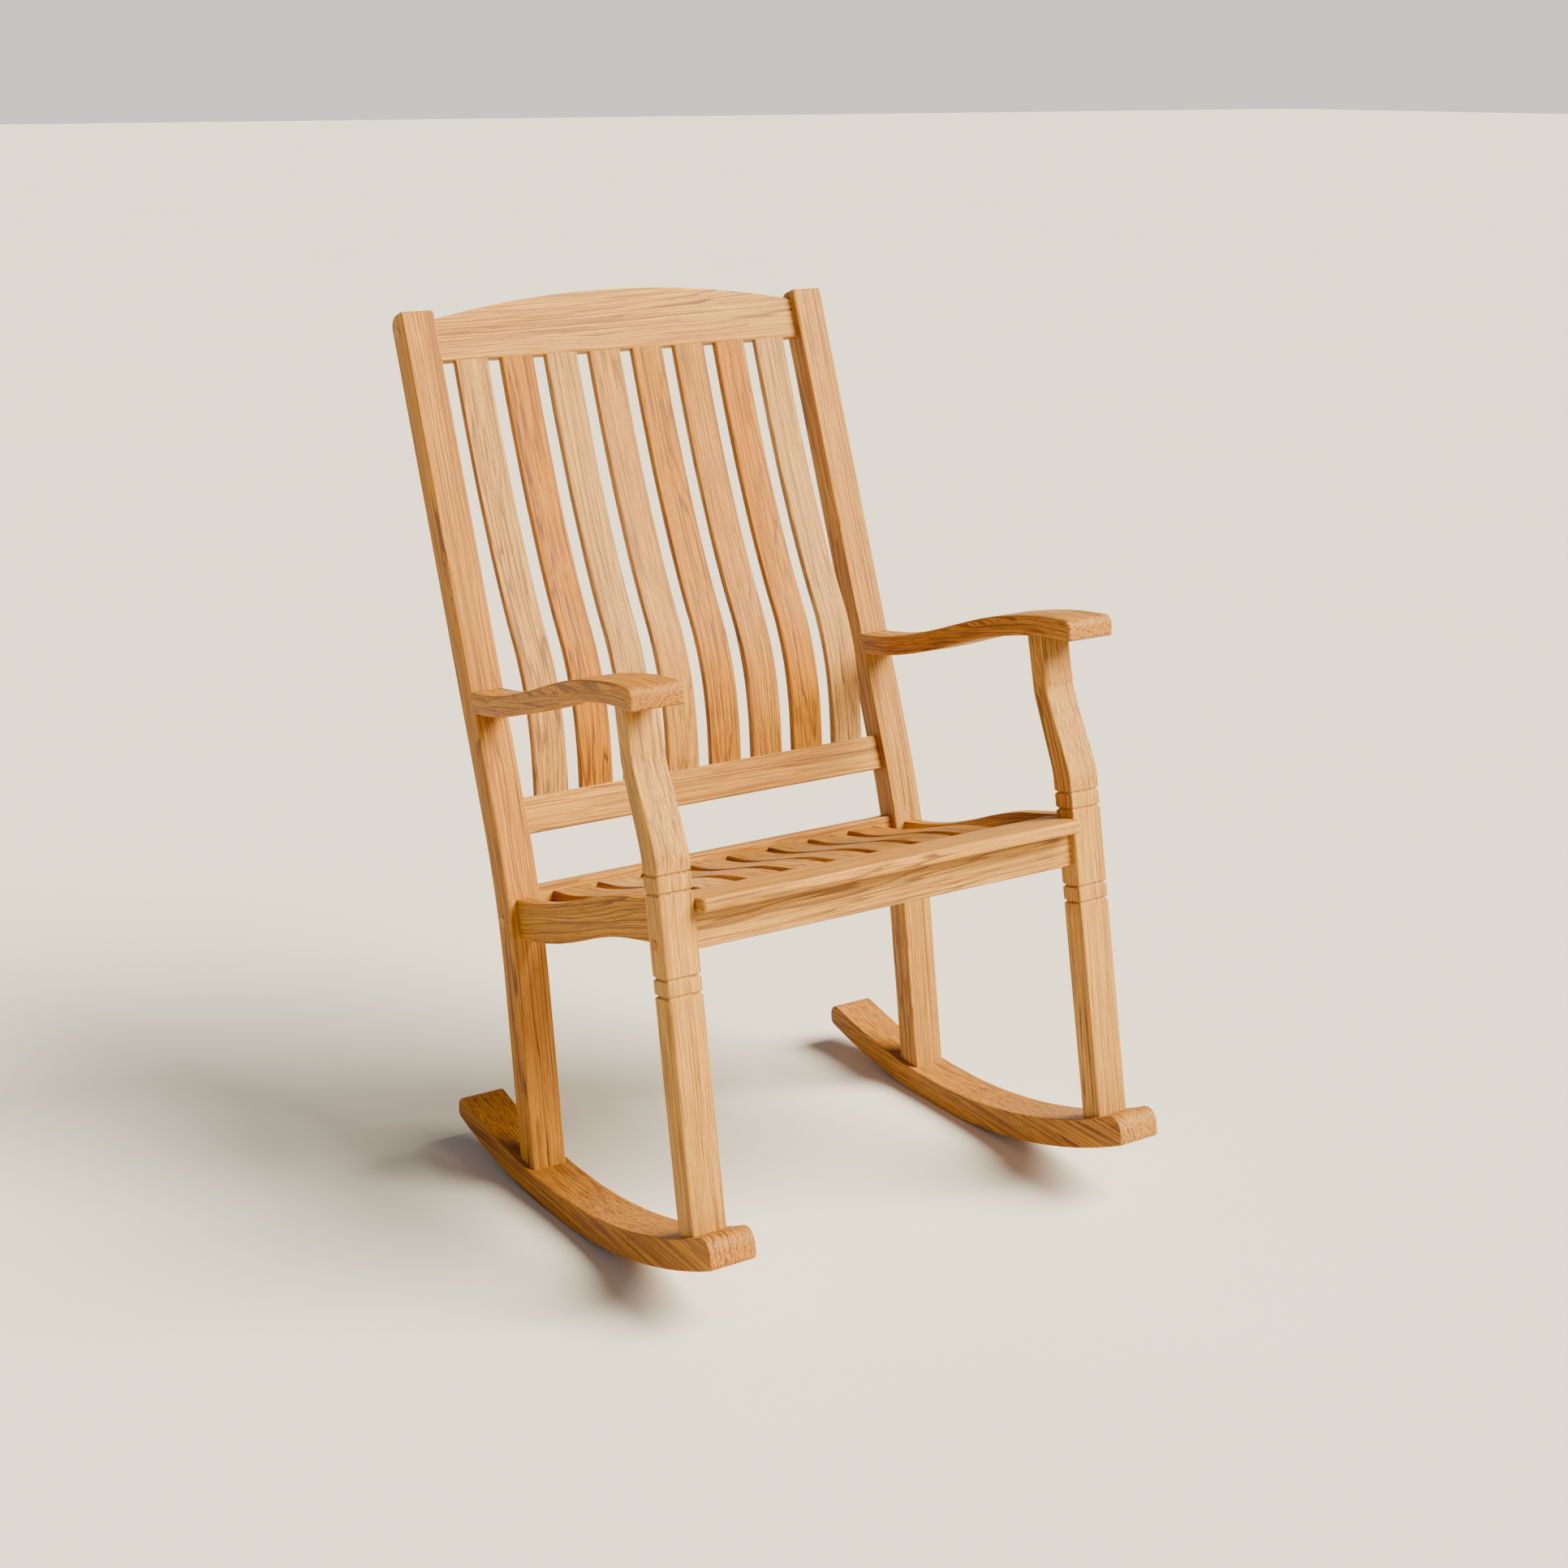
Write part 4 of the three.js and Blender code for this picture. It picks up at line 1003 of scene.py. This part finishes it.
shader.inputs["Roughness"].default_value = studio["floorRoughness"]
shader.inputs["Specular IOR Level"].default_value = studio["floorGloss"]
floorMesh.materials.append(plaster)

# The surroundings are pale near the horizon and dimmer above, and the key light is broad and far away.
world = bpy.data.worlds.new("studio")
bpy.context.scene.world = world
world.use_nodes = True
sky, skyLinks = world.node_tree.nodes, world.node_tree.links
way, rise = sky.new("ShaderNodeTexCoord"), sky.new("ShaderNodeSeparateXYZ")
wash = sky.new("ShaderNodeValToRGB")
skyLinks.new(way.outputs["Generated"], rise.inputs[0])
skyLinks.new(rise.outputs["Z"], wash.inputs["Fac"])
for stop, (height, tone) in zip(wash.color_ramp.elements, studio["sky"]):
    stop.position, stop.color = height, (*tone, 1)
skyLinks.new(wash.outputs["Color"], sky["Background"].inputs["Color"])
sky["Background"].inputs["Strength"].default_value = studio["skyStrength"]

lampLooks = {
    "key": {"from": (0.77, -0.72, 0.94), "angle": 38, "power": 15.0, "colour": (1.0, 0.93, 0.70)},
    "fill": {"from": (-0.2, -1.0, 0.5), "angle": 60, "power": 0.4, "colour": (1.0, 0.94, 0.88)},
}
for lampName, look in lampLooks.items():
    lamp = bpy.data.lights.new(lampName, "SUN")
    lamp.angle, lamp.energy, lamp.color = math.radians(look["angle"]), look["power"], look["colour"]
    holder = bpy.data.objects.new(lampName, lamp)
    bpy.context.scene.collection.objects.link(holder)
    holder.location = [studio["lampReach"] * c for c in look["from"]]
    holder.rotation_euler = (-Vector(look["from"])).to_track_quat("-Z", "Y").to_euler()

view = {"at": (-1.6151, -2.4974, 1.3673), "turn": 33.301, "down": 12.768, "sensor": 36, "lens": 56.69,
        "shift": -0.10}
camData = bpy.data.cameras.new("camera")
camData.sensor_width, camData.lens, camData.shift_y = view["sensor"], view["lens"], view["shift"]
camera = bpy.data.objects.new("camera", camData)
bpy.context.scene.collection.objects.link(camera)
camera.location = view["at"]
camera.rotation_euler = (math.radians(90 - view["down"]), 0, -math.radians(view["turn"]))
bpy.context.scene.camera = camera
print("studio made")
